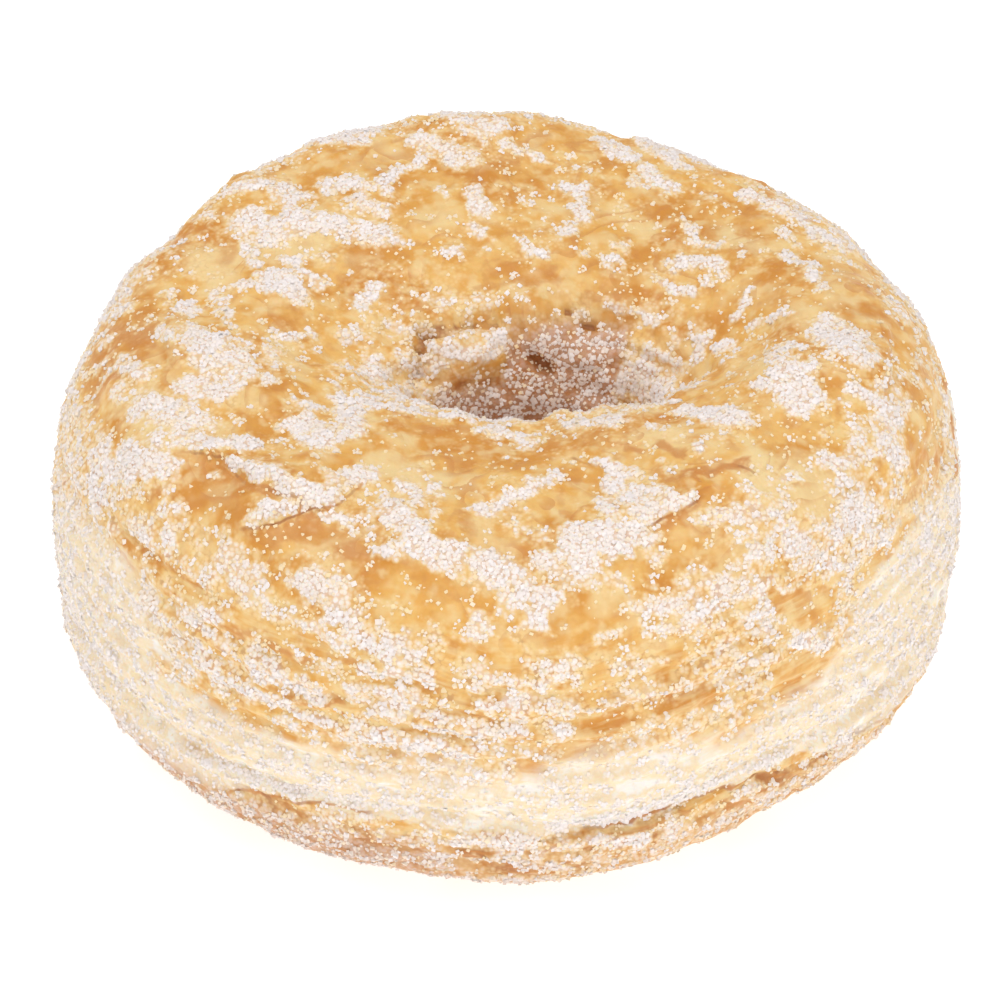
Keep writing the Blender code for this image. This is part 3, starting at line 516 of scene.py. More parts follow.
SIDE_BROWN = (
    (222, 9, 232, 8.4, 0.6, 0.45), (235, 12.6, 251, 12.2, 0.9, 0.75), (236, 10.6, 248, 13, 0.8, 0.55),
    (250, 11.4, 262, 11, 0.5, 0.5), (256, 6.6, 268, 6.8, 0.5, 0.5), (262, 10.4, 270, 10.6, 0.5, 0.7),
    (269, 8, 277, 8.2, 0.7, 0.95), (277, 12.2, 281, 13.2, 0.6, 0.8), (283, 13.4, 292, 13.5, 0.4, 0.6),
    (300, 13, 306, 12.9, 0.4, 0.6), (311, 11.2, 318, 11, 0.5, 0.55),
)
# Lips of the side's layers, each over a groove: bearing and height, half width and depth in
# millimetres
SIDE_FOLDS = (
    (274, 12.5, 280, 14.1, 0.45, 0.6), (280, 14, 292, 13.8, 0.45, 0.7), (292, 13.8, 304, 13.3, 0.45, 0.7),
    (304, 13.1, 313, 12, 0.45, 0.6), (313, 12, 324, 11.4, 0.45, 0.5), (262, 9.8, 273, 9.8, 0.5, 0.6),
    (233, 11.4, 243, 13.4, 0.4, 0.3), (243, 28, 250, 28.8, 0.5, 0.5), (280, 28.4, 302, 28.2, 0.4, 0.4),
    (210, 34.4, 230, 34, 0.4, 0.4), (282, 24.6, 300, 24.4, 0.35, 0.2), (262, 27.2, 272, 26.8, 0.4, 0.4),
    (285, 31.4, 300, 31.2, 0.35, 0.3), (232, 30.9, 246, 31.2, 0.4, 0.4),
    (255, 23.8, 276, 24.2, 0.35, 0.3),
)


def smooth(share):
    """Ease from 0 to 1."""
    share = np.clip(share, 0.0, 1.0)
    return share * share * (3 - 2 * share)


def past(values, edge):
    """1 beyond an edge, eased from 0 over its blend."""
    return smooth((values - edge[0]) / edge[1])


def short_of(values, edge):
    """1 before an edge, eased from 0 over its blend."""
    return smooth((edge[0] - values) / edge[1])


def in_stretch(bearing, start, rise, end, fall):
    """1 between two bearings, 0 outside them, eased at both."""
    rising, falling = smooth((bearing - start) / rise), smooth((end - bearing) / fall)
    return rising * falling if start < end else np.maximum(rising, falling)


def ripple(places, span, seed=0):
    """Smooth noise at each place, about -0.7 to 0.7, with lumps of this span."""
    marks = (places / span + seed * SEED_STEP).tolist()
    return np.fromiter((noise.noise(mark) for mark in marks), float, len(marks))


def noisy(places, what):
    """The noise of this name at each place."""
    return ripple(places, *NOISE[what])


def rounded_quarter(start, end, square, points=400):
    """Points from start, where the quarter runs upright, to end, where it runs level."""
    turn = np.linspace(0, math.pi / 2, points)
    across = 1 - np.abs(np.cos(turn)) ** (2 / square)
    up = np.sin(turn) ** (2 / square)
    return np.stack([start[0] + (end[0] - start[0]) * across,
                     start[1] + (end[1] - start[1]) * up], 1)


def evenly(points, step, upright=False):
    """The polyline again, without its last point, its points one step apart or one step down."""
    gaps = np.diff(points, axis=0)
    gaps = np.abs(gaps[:, 1]) if upright else np.hypot(gaps[:, 0], gaps[:, 1])
    lengths = np.concatenate([[0], np.cumsum(gaps)])
    wanted = np.linspace(0, lengths[-1], max(2, round(lengths[-1] / step)) + 1)[:-1]
    return np.stack([np.interp(wanted, lengths, points[:, axis]) for axis in (0, 1)], 1)


def ring_section(sizes):
    """The closed outline of the ring's section, from the crest down its outer side and back."""
    waist = (RING_RADIUS, WAIST_HEIGHT)
    throat = (THROAT_RADIUS, THROAT_HEIGHT)
    crest = (CREST_RADIUS, CREST_HEIGHT)
    shoulder = rounded_quarter(waist, crest, SHOULDER_SQUARE)[::-1]
    belly = rounded_quarter(waist, (FOOT_OUTER, 0.0), BELLY_SQUARE)
    funnel = rounded_quarter(throat, crest, FUNNEL_SQUARE)
    undercut = rounded_quarter(throat, (FOOT_INNER, 0.0), UNDERCUT_SQUARE)[::-1]
    outer = np.concatenate([shoulder, belly[1:]])
    top = outer[outer[:, 1] >= LAYERED_TO]
    side = outer[(outer[:, 1] <= LAYERED_TO) & (outer[:, 1] >= LAYERED_FROM)]
    toe = outer[outer[:, 1] <= LAYERED_FROM]
    foot = np.array([(FOOT_OUTER, 0.0), (FOOT_INNER, 0.0)])
    runs = (
        evenly(np.concatenate([top, side[:1]]), sizes.top_step),
        evenly(np.concatenate([side, toe[:1]]), sizes.side_step, upright=True),
        evenly(toe, 2 * sizes.top_step),
        evenly(foot, 4 * sizes.top_step),
        evenly(undercut, 3 * sizes.top_step),
        evenly(funnel, sizes.top_step),
    )
    return np.concatenate(runs)


def turned_ring(outline, steps):
    """The section spun about Z. Each point keeps its row in the section."""
    shape = bmesh.new()
    row = shape.verts.layers.float.new("row")
    corners = []
    for index, (reach, height) in enumerate(outline):
        corner = shape.verts.new((reach, 0.0, height))
        corner[row] = index
        corners.append(corner)
    edges = [shape.edges.new((corner, corners[index - 1])) for index, corner in enumerate(corners)]
    bmesh.ops.spin(shape, geom=corners + edges, cent=(0, 0, 0), axis=(0, 0, 1),
                   angle=2 * math.pi, steps=steps, use_merge=True)
    bmesh.ops.recalc_face_normals(shape, faces=shape.faces)
    mesh = bpy.data.meshes.new("crust")
    shape.to_mesh(mesh)
    shape.free()
    put_in_order(mesh)
    return mesh


def put_in_order(mesh):
    """The same four-cornered faces in the order of their points, so that every run is alike."""
    corners = np.empty(len(mesh.loops), np.int32)
    mesh.loops.foreach_get("vertex_index", corners)
    corners = corners.reshape(-1, 4)
    turns = (corners.argmin(1)[:, None] + np.arange(4)) % 4
    corners = np.take_along_axis(corners, turns, 1)
    corners = corners[np.lexsort(corners.T[::-1])]
    mesh.loops.foreach_set("vertex_index", corners.ravel())
    mesh.update(calc_edges=True)


def read(mesh, what="co"):
    """The places or normals of a mesh's points."""
    values = np.empty(len(mesh.vertices) * 3)
    mesh.vertices.foreach_get(what, values)
    return values.reshape(-1, 3)


def shift_points(mesh, places):
    """Put a mesh's points at these places."""
    mesh.vertices.foreach_set("co", places.ravel())
    mesh.update()


def mark(mesh, name, values):
    """Keep a value for each point, for the material and the sugar."""
    layer = mesh.attributes.new(name, "FLOAT", "POINT")
    layer.data.foreach_set("value", values.astype(np.float32))


def marked(mesh, name):
    """The values that were kept for each point."""
    values = np.empty(len(mesh.vertices), np.float32)
    mesh.attributes[name].data.foreach_get("value", values)
    return values.astype(float)


def waves(bearing, shares):
    """The sum of a few waves round the ring."""
    return sum(across * np.cos(count * bearing) + along * np.sin(count * bearing)
               for count, across, along in shares)


def grown(plain):
    """Where the points of the plain turned ring lie in the risen dough, even and with its sway."""
    bearing = np.arctan2(plain[:, 1], plain[:, 0])
    reach = np.hypot(plain[:, 0], plain[:, 1])
    outside = smooth((reach - THROAT_RADIUS) / (CREST_RADIUS - THROAT_RADIUS))
    level = np.minimum(plain[:, 2] / CREST_HEIGHT, 1.0)
    wider = 1 + outside * waves(bearing, WIDTH_WAVES)
    taller = 1 + outside * waves(bearing, HEIGHT_WAVES) * level
    sway = SIDE_SWAY * ripple(plain * (1, 1, 0), SIDE_SWAY_SPAN) * np.sin(math.pi * level)
    above = smooth(plain[:, 2] / THROAT_HEIGHT)
    inside = (1 - outside) * (HOLE_AT_FOOT + (1 - HOLE_AT_FOOT) * above)
    plan = [plain[:, axis] * wider * (1 + inside * (HOLE_STRETCH[axis] - 1))
            + inside * HOLE_SHIFT[axis] for axis in (0, 1)]
    even = np.stack([*plan, plain[:, 2] * taller], 1)
    return even, even + np.outer(outside * sway, (0, 0, 1))


def stroke_parts(spots, stroke):
    """How far along a stroke each spot is, as a share, how far to its left, and its length."""
    start, end = np.array(stroke[:4], float).reshape(2, 2)
    along = end - start
    length = math.hypot(*along)
    offset = spots - start
    share = offset @ along / length ** 2
    beside = (along[0] * offset[:, 1] - along[1] * offset[:, 0]) / length
    return share, beside, length


def sheet_rise(spots, stroke):
    """How far the sheet that ends along this line lifts the crust, in millimetres."""
    share, beside, _ = stroke_parts(spots, stroke)
    height, softness = stroke[4:]
    window = smooth(share / 0.25) * smooth((1 - share) / 0.25)
    rise = smooth(0.5 + beside / (2 * softness))
    return height * window * rise * (1 - smooth(beside / (SHEET_REACH / MM)))


def under_sheets(spots):
    """Where the crust lies close under the edge of a sheet, 0 to 1."""
    most = np.zeros(len(spots))
    for line in TOP_CREASES:
        share, beside, _ = stroke_parts(spots, line)
        window = smooth(share / 0.12 + 0.5) * smooth((1 - share) / 0.12 + 0.5)
        under = smooth((beside + 1.3) / 0.8) * smooth((0.10 - beside) / 0.2)
        np.maximum(most, window * under * line[4], out=most)
    return most


def crease_sides(spots, lines):
    """How far each spot is to the left of the nearest crease, in mm, and how much it shows."""
    nearest = np.full(len(spots), np.inf)
    left, shown = np.zeros((2, len(spots)))
    for line in lines:
        share, beside, length = stroke_parts(spots, line)
        beyond = np.abs(share - np.clip(share, 0, 1)) * length
        away = np.hypot(beside, beyond)
        near = away < nearest
        nearest[near] = away[near]
        left[near] = np.clip(beside[near], -CREASE_REACH, CREASE_REACH)
        window = line[4] * smooth(1 - beyond / CREASE_END)
        window = window * smooth((CREASE_REACH - np.abs(beside)) / CREASE_BLEND)
        shown[near] = window[near]
    return left, shown


def creases(surface):
    """The creases on top and round the side, for the material, which paints thin lines of shade along
    them.
    """
    top, top_shown = crease_sides(surface.warped(surface.plan, 0.2), TOP_CREASES)
    side, side_shown = crease_sides(surface.side_spots(0.3), unrolled(SIDE_CREASES, RING_RADIUS))
    shown = np.maximum(top_shown * surface.on_top, side_shown * surface.on_side)
    return np.where(surface.on_top > 0.5, top, side), shown


def laid(spots, stroke, soft):
    """Whether each spot lies under a stroke, 0 to 1, with sides this soft for its half width."""
    share, beside, length = stroke_parts(spots, stroke)
    beyond = (share - np.clip(share, 0, 1)) * length
    away = np.hypot(beside, beyond) / stroke[4]
    return smooth((0.92 + soft / 2 - away) / soft)


def spread(spots, strokes, soft):
    """How much lies at each spot, 0 to 1."""
    most = np.zeros(len(spots))
    for stroke in strokes:
        np.maximum(most, stroke[5] * laid(spots, stroke, soft), out=most)
    return most


def folded(spots, strokes):
    """How deep the grooves are at each spot, in metres."""
    return sum(stroke[5] * laid(spots, stroke, 1.0) for stroke in strokes) * MM


def unrolled(strokes, radius):
    """Strokes given by bearing and height, on the unrolled wall of this radius."""
    step = math.radians(1) * radius / MM
    return [(start * step, low, end * step, high, *rest) for start, low, end, high, *rest in strokes]


class Surface:
    """The crust's points while it is shaped: their plain places, and where on the ring they lie."""

    def __init__(self, mesh, plain, even):
        self.plain = plain
        self.place = read(mesh)
        self.normal = read(mesh, "normal")
        self.height = plain[:, 2]
        self.reach = np.hypot(plain[:, 0], plain[:, 1])
        self.bearing = np.degrees(np.arctan2(plain[:, 1], plain[:, 0])) % 360
        self.outer = past(self.reach, OUTER_FROM)
        self.on_top = past(self.height, TOP_FROM)
        self.on_side = past(self.reach, SIDE_FROM) * (1 - self.on_top)
        self.in_hole = short_of(self.reach, HOLE_WITHIN) * past(self.height, HOLE_FROM)
        self.under = short_of(self.height, UNDERSIDE_BELOW) * (1 - self.in_hole)
        # the spot of the even dough over which each point was laid out
        drawn_in = self.place - CRUST_INSET * self.normal - OFF_CENTRE
        stand = np.einsum("ni,ni->n", drawn_in - even, self.normal)
        facing = -(self.normal @ LAID_ALONG)
        slide = stand * smooth(facing / GRAZING) / np.maximum(facing, GRAZING)
        spot = drawn_in + slide[:, None] * LAID_ALONG
        self.plan = spot[:, :2] / MM
        swung = np.arctan2(spot[:, 1], spot[:, 0]) - np.arctan2(even[:, 1], even[:, 0])
        swung = (swung + math.pi) % (2 * math.pi) - math.pi
        outside = self.reach > SIDE_BEYOND
        self.side_bearing = self.bearing + np.degrees(swung) * outside
        self.side_height = self.height + (spot[:, 2] - even[:, 2]) * outside
        wide, narrow = RAGGED_SPANS
        self.ragged = np.stack([ripple(self.place, wide, seed) + ripple(self.place, narrow, seed + 3)
                                for seed in (1, 2)], 1)
        self.shade = under_sheets(self.warped(self.plan, 0.2)) * self.on_top

    def rolling(self):
        """How many thin sheets lie on each other at each point of the top."""
        return noisy(self.place, "sheets") * 4 + noisy(self.place, "flakes")

    def warped(self, spots, amount):
        """The spots, moved about a little so that what lies on them has ragged edges."""
        return spots + amount * self.ragged

    def side_spots(self, amount):
        """The side unrolled, in millimetres."""
        around = np.radians(self.side_bearing) * RING_RADIUS
        return self.warped(np.stack([around, self.side_height], 1) / MM, amount)

    def hole_spots(self, amount):
        """The hole's wall unrolled, in millimetres."""
        around = np.radians(self.bearing) * HOLE_RADIUS
        return self.warped(np.stack([around, self.height], 1) / MM, amount)

    def over_top(self, strokes, amount, soft):
        """How much of the strokes lies on top, this ragged and this soft."""
        return spread(self.warped(self.plan, amount), strokes, soft)

    def over_side(self, strokes, amount, soft):
        """The same round the side, for strokes by bearing and height."""
        return spread(self.side_spots(amount), unrolled(strokes, RING_RADIUS), soft)

    def over_hole(self, strokes, amount, soft):
        """The same on the hole's wall."""
        return spread(self.hole_spots(amount), unrolled(strokes, HOLE_RADIUS), soft)


def side_relief(surface):
    """Layers of the side and the seam over the browned underside, as in the part."""
    plain = surface.plain
    depth = -LAYER_DEPTH * np.cos(2 * math.pi * (plain[:, 2] - LAYERED_FROM) / LAYER_PITCH)
    showing = 1 + ripple(plain * (1, 1, 2), SIDE_SWAY_SPAN / 2)
    groove = -SEAM_DEPTH * smooth(1 - np.abs(plain[:, 2] - SEAM_HEIGHT) / LAYER_PITCH)
    return depth * showing + groove


def coarse_relief(surface):
    """The part's own folds, swells and layers, with crisper edges."""
    swell = SWELL_HEIGHT * ripple(surface.place, SWELL_SPAN)
    spots = surface.warped(surface.plan, SHEET_RAGGED)
    sheets = sum(sheet_rise(spots, edge) for edge in SHEET_EDGES) * MM
    layered = past(surface.reach, SIDE_FROM) * short_of(surface.height, LAYERS_BELOW)
    lobe = np.linalg.norm(surface.place - LOBE_PLACE, axis=1) / LOBE_SPAN
    stand = surface.on_top * (swell + sheets) + layered * side_relief(surface)
    return (stand + LOBE_SWELL * np.exp(-lobe * lobe)) * smooth(surface.place[:, 2] / FOOT_BLEND)


def terraces(values, softness):
    """Steps out of a smooth value, as thin sheets that end one after another."""
    floor = np.floor(values)
    return floor + smooth((values - floor - 1 + softness) / softness)


def fine_relief(surface, sizes):
    """Thin flakes, blisters, folds and fine layers, which only the looks carry."""
    place = surface.place
    flakes = sizes.flake_height * terraces(surface.rolling(), 0.25)
    blisters = sizes.blister_height * np.clip(noisy(place, "blisters"), 0, 1) * 1.6
    wrinkles = 0.5 * sizes.blister_height * noisy(place, "wrinkles")
    warp = LONG_WARP * noisy(surface.plain * (1, 1, 0.5), "long warp")
    warp += SHORT_WARP * noisy(place, "short warp")
    layer = surface.height + warp
    along = surface.plain * (1, 1, 0)
    along[:, 2] = layer * LEAVES_DRAWN
    leaves = sizes.leaf_depth * (noisy(along, "leaves") + 0.5 * noisy(along, "thin leaves"))
    crumbs = sizes.blister_height * noisy(place, "crumbs")
    top = surface.on_top * (flakes + blisters)
    lips = 0.6 * folded(surface.side_spots(0.35), unrolled(SIDE_FOLDS, RING_RADIUS))
    side = surface.on_side * (leaves + crumbs - lips)
    lumpy = HOLE_LUMPS * noisy(place, "hole lumps") + 0.5 * leaves + 1.5 * crumbs
    folds = folded(surface.hole_spots(0.3), unrolled(HOLE_FOLDS, HOLE_RADIUS))
    hole = surface.in_hole * (lumpy - folds)
    stand = top + side + hole + wrinkles
    return stand - CRUST_INSET, layer


def sugar_cover(surface):
    """How thickly sugar lies at each point, 0 to 1."""
    place = surface.place
    top = surface.over_top(TOP_DRIFTS, 0.8, 1.1) * (1 - 0.9 * surface.shade)
    side = surface.over_side(SIDE_DRIFTS, 0.8, 1.2)
    hole = surface.over_hole(HOLE_DRIFTS, 0.5, 1.0)
    clean = np.maximum(surface.outer * surface.over_side(SIDE_CLEAN, 0.8, 1.0),
                       surface.in_hole * surface.over_hole(HOLE_CLEAN, 0.3, 0.8))
    clean = np.maximum(clean, surface.on_top * surface.over_top(TOP_CLEAN, 0.8, 1.0))
    # the far side, the underside and the throat follow chance
    unseen = noisy(place, "unseen drifts") + 0.6 * noisy(place, "unseen clumps")
    chance = smooth(0.5 + 1.5 * unseen)
    side = np.maximum(side, in_stretch(surface.bearing, *UNSEEN_SIDE) * chance * 0.85)
    top_zone = past(surface.height, TOP_SUGAR_FROM) * (1 - surface.in_hole)
    side_zone = surface.outer * short_of(surface.height, SIDE_SUGAR_BELOW)
    cover = np.maximum(top_zone * top + surface.in_hole * hole, side_zone * side)
    damp = 0.80 + 0.40 * noisy(place, "damp")
    cover = np.maximum(cover, hole_depth(surface) * damp)
    cover = np.maximum(cover, surface.under * chance * 0.5)
    dust = 0.5 + 0.9 * noisy(place, "dust") + 0.9 * noisy(place, "fine dust")
    dusted = TOP_DUST * (1 - surface.outer) + SIDE_DUST * surface.outer
    dusted = dusted + surface.in_hole * (HOLE_DUST - dusted)
    cover = np.maximum(cover, dusted * smooth(dust + 0.3 * surface.in_hole)) * (1 - clean)
    broken = noisy(place, "breaks") + 0.8 * noisy(place, "fine breaks")
    return np.clip(cover * (1 + 0.45 * broken), 0, 1)


def pale_edge(surface, edge, flanks, what):
    """How high an edge of the pale waist lies at each point, in millimetres."""
    height, rise, wander = edge
    flank = np.maximum(*(in_stretch(surface.bearing, *flank) for flank in flanks))
    return height + rise * flank + wander * noisy(surface.place, what)


def waist_marks(surface):
    """Where the side is unbrowned cream, and where it is browned below the waist."""
    height = surface.side_spots(0.5)[:, 1]
    top_edge = pale_edge(surface, PALE_TOP, (LEFT_FLANK, RIGHT_FLANK), "pale top")
    low_edge = pale_edge(surface, PALE_LOW, (LOW_LEFT_FLANK, LOW_RIGHT_FLANK), "pale foot")
    gone, blend = PALE_TOP_BLEND
    cream = short_of(height, (top_edge + gone, blend)) * past(height, (low_edge, PALE_LOW_BLEND))
    below = short_of(height, (low_edge, PALE_LOW_BLEND)) * past(height, BROWNED_SIDE_FROM)
    return surface.on_side * cream, surface.on_side * below


def crust_marks(surface):
    """Where the crust is pale, toasted, cream and brown, each 0 to 1. The toasted mark also holds painted
    shade close under the sheets' edges, and the brown in the hole is partly painted shade.
    """
    pale = surface.over_top(PALE_STAINS, 1.6, 1.2) * surface.on_top
    gold = surface.over_side(SIDE_GOLD, 0.5, 0.7) * surface.on_side
    cream, below = waist_marks(surface)
    toasted_and_shaded = np.maximum(surface.over_top(TOASTED_AND_SHADED_STAINS, 0.7, 0.9) * surface.on_top,
                         surface.over_side(SIDE_TOASTED, 0.9, 1.1) * surface.on_side)
    # Painted shade: the crust close under a sheet's edge takes the toasted colour.
    toasted_and_shaded = np.maximum(toasted_and_shaded, 0.8 * surface.shade)
    toasted_and_shaded = np.maximum(toasted_and_shaded, below * (0.70 + 0.5 * noisy(surface.place, "toasted foot")))
    brown = np.maximum(0.75 * surface.over_side(SIDE_BROWN, 0.5, 0.6) * surface.on_side,
                       surface.over_hole(HOLE_BROWN_AND_SHADE, 0.35, 0.3) * surface.in_hole)
    brown = np.maximum(brown, below * (0.50 + 0.4 * noisy(surface.place, "brown foot")))
    return {"pale": pale, "toasted_and_shaded": toasted_and_shaded, "cream": cream * (1 - 0.85 * gold),
            "brown": np.clip(brown, 0, 1)}


def foot_depth(surface):
    """How far the low rim is browned, 0 to 1, most at the near left."""
    share = 0.20 + 0.60 * in_stretch(surface.bearing, *BROWNED_FOOT)
    return surface.outer * share * short_of(surface.height, BROWNED_FOOT_BELOW)


def hole_depth(surface):
    """How far the hole's wall is darkened, 0 to 1, for its browning and for painted shade deep down. The
    left and far walls darken from higher up.
    """
    rise = np.maximum(FAR_WALL_RISE * in_stretch(surface.bearing, *FAR_WALL),
                      LEFT_WALL_RISE * in_stretch(surface.bearing, *LEFT_WALL))
    edge = DARKENED_HOLE_HEIGHT + rise + 0.0015 * noisy(surface.place, "hole edge")
    return surface.in_hole * short_of(surface.height, (edge, DARKENED_HOLE_BLEND))


def lay_map(mesh, rows):
    """A map of the crust: bearing across, rows of the section up."""
    places = read(mesh)
    turn = np.arctan2(places[:, 1], places[:, 0]) / (2 * math.pi) % 1
    row = marked(mesh, "row") / rows
    corners = np.empty(len(mesh.loops), np.int32)
    mesh.loops.foreach_get("vertex_index", corners)
    uv = np.stack([turn[corners], row[corners]], 1).reshape(-1, 4, 2)
    ends = uv.max(1, keepdims=True) - uv > 0.5
    uv = np.where(ends, uv + 1, uv)
    layer = mesh.uv_layers.new(name="OFBake")
    uv = MAP_MARGIN + (1 - 2 * MAP_MARGIN) * uv
    layer.uv.foreach_set("vector", uv.astype(np.float32).ravel())


def shaped_crust(sizes):
    """The crust's mesh, with all its marks."""
    outline = ring_section(sizes)
    mesh = turned_ring(outline, sizes.turned_steps)
    plain = read(mesh)
    lay_map(mesh, len(outline))
    even, risen = grown(plain)
    shift_points(mesh, risen)
    surface = Surface(mesh, plain, even)
    shift_points(mesh, surface.place + surface.normal * coarse_relief(surface)[:, None])
    surface = Surface(mesh, plain, even)
    stand, layer = fine_relief(surface, sizes)
    cover = sugar_cover(surface)
    stand += sizes.cake_height * past(cover, CAKED_FROM)
    stand *= past(surface.place[:, 2], RELIEF_FROM)
    places = surface.place + surface.normal * stand[:, None]
    places[:, :2] -= (places[:, :2].min(0) + places[:, :2].max(0)) / 2
    shift_points(mesh, places)
    marks = crust_marks(surface)
    depth = np.maximum(hole_depth(surface), foot_depth(surface))
    marks.update(sugar=cover, layer=layer, depth=depth, on_top=surface.on_top,
                 rolling=surface.rolling())
    marks["crease"], marks["creased"] = creases(surface)
    for name, values in marks.items():
        mark(mesh, name, values)
    mesh.shade_smooth()
    return mesh


class Value:
    """A socket of a material, so that shader maths reads as an expression."""

    def __init__(self, paint, socket):
        self.paint = paint
        self.socket = socket

    def math(self, operation, *others):
        """One Math node on this value and others."""
        sockets = {index: value for index, value in enumerate((self, *others))}
        return self.paint.node("ShaderNodeMath", {"operation": operation}, sockets)

    def __add__(self, other):
        return self.math("ADD", other)

    def __sub__(self, other):
        return self.math("SUBTRACT", other)

    def __mul__(self, other):
        return self.math("MULTIPLY", other)

    def __rsub__(self, other):
        return self.paint.node("ShaderNodeMath", {"operation": "SUBTRACT"}, {0: other, 1: self})

    __radd__ = __add__
    __rmul__ = __mul__

    def ease(self, low, high, start=0.0, end=1.0):
        """Eased from start to end as this goes from low to high."""
        return self.paint.node("ShaderNodeMapRange", {"interpolation_type": "SMOOTHSTEP"},
                               {0: self, 1: low, 2: high, 3: start, 4: end})


class Paint:
    """A material and the one way in which its nodes are added."""

    def __init__(self, name):
        self.material = bpy.data.materials.new(name)
        self.material.use_nodes = True
        self.tree = self.material.node_tree
        self.tree.nodes.clear()

    def node(self, kind, settings=None, sockets=None, out=0):
        """A node, its settings made before its sockets are given their values or links."""
        added = self.tree.nodes.new(kind)
        for name, value in (settings or {}).items():
            setattr(added, name, value)
        for key, value in (sockets or {}).items():
            if isinstance(value, Value):
                self.tree.links.new(value.socket, added.inputs[key])
            else:
                added.inputs[key].default_value = value
        return Value(self, added.outputs[out])

    def mark(self, name):
        """A value that the mesh keeps for each point."""
        return self.node("ShaderNodeAttribute", {"attribute_name": name}, out="Fac")

    def noise(self, vector, scale, detail=2.0, roughness=0.5):
        """Noise over a vector, 0 to 1."""
        return self.node("ShaderNodeTexNoise", None,
                         {"Vector": vector, "Scale": scale, "Detail": detail, "Roughness": roughness})

    def mix(self, share, first, second):
        """One colour going over into another."""
        tints = {key: tint if isinstance(tint, Value) else (*tint, 1.0)
                 for key, tint in ((6, first), (7, second))}
        settings = {"data_type": "RGBA", "clamp_factor": True}
        return self.node("ShaderNodeMix", settings, {0: share, **tints}, out=2)

    def axis(self, vector, name):
        """One axis of a vector."""
        return self.node("ShaderNodeSeparateXYZ", None, {0: vector}, out=name)

    def finish(self, **sockets):
        """The material, once its shader has these sockets."""
        shader = self.node("ShaderNodeBsdfPrincipled", None,
                           {key.replace("_", " "): value for key, value in sockets.items()})
        output = self.tree.nodes.new("ShaderNodeOutputMaterial")
        self.tree.links.new(shader.socket, output.inputs["Surface"])
        return self.material


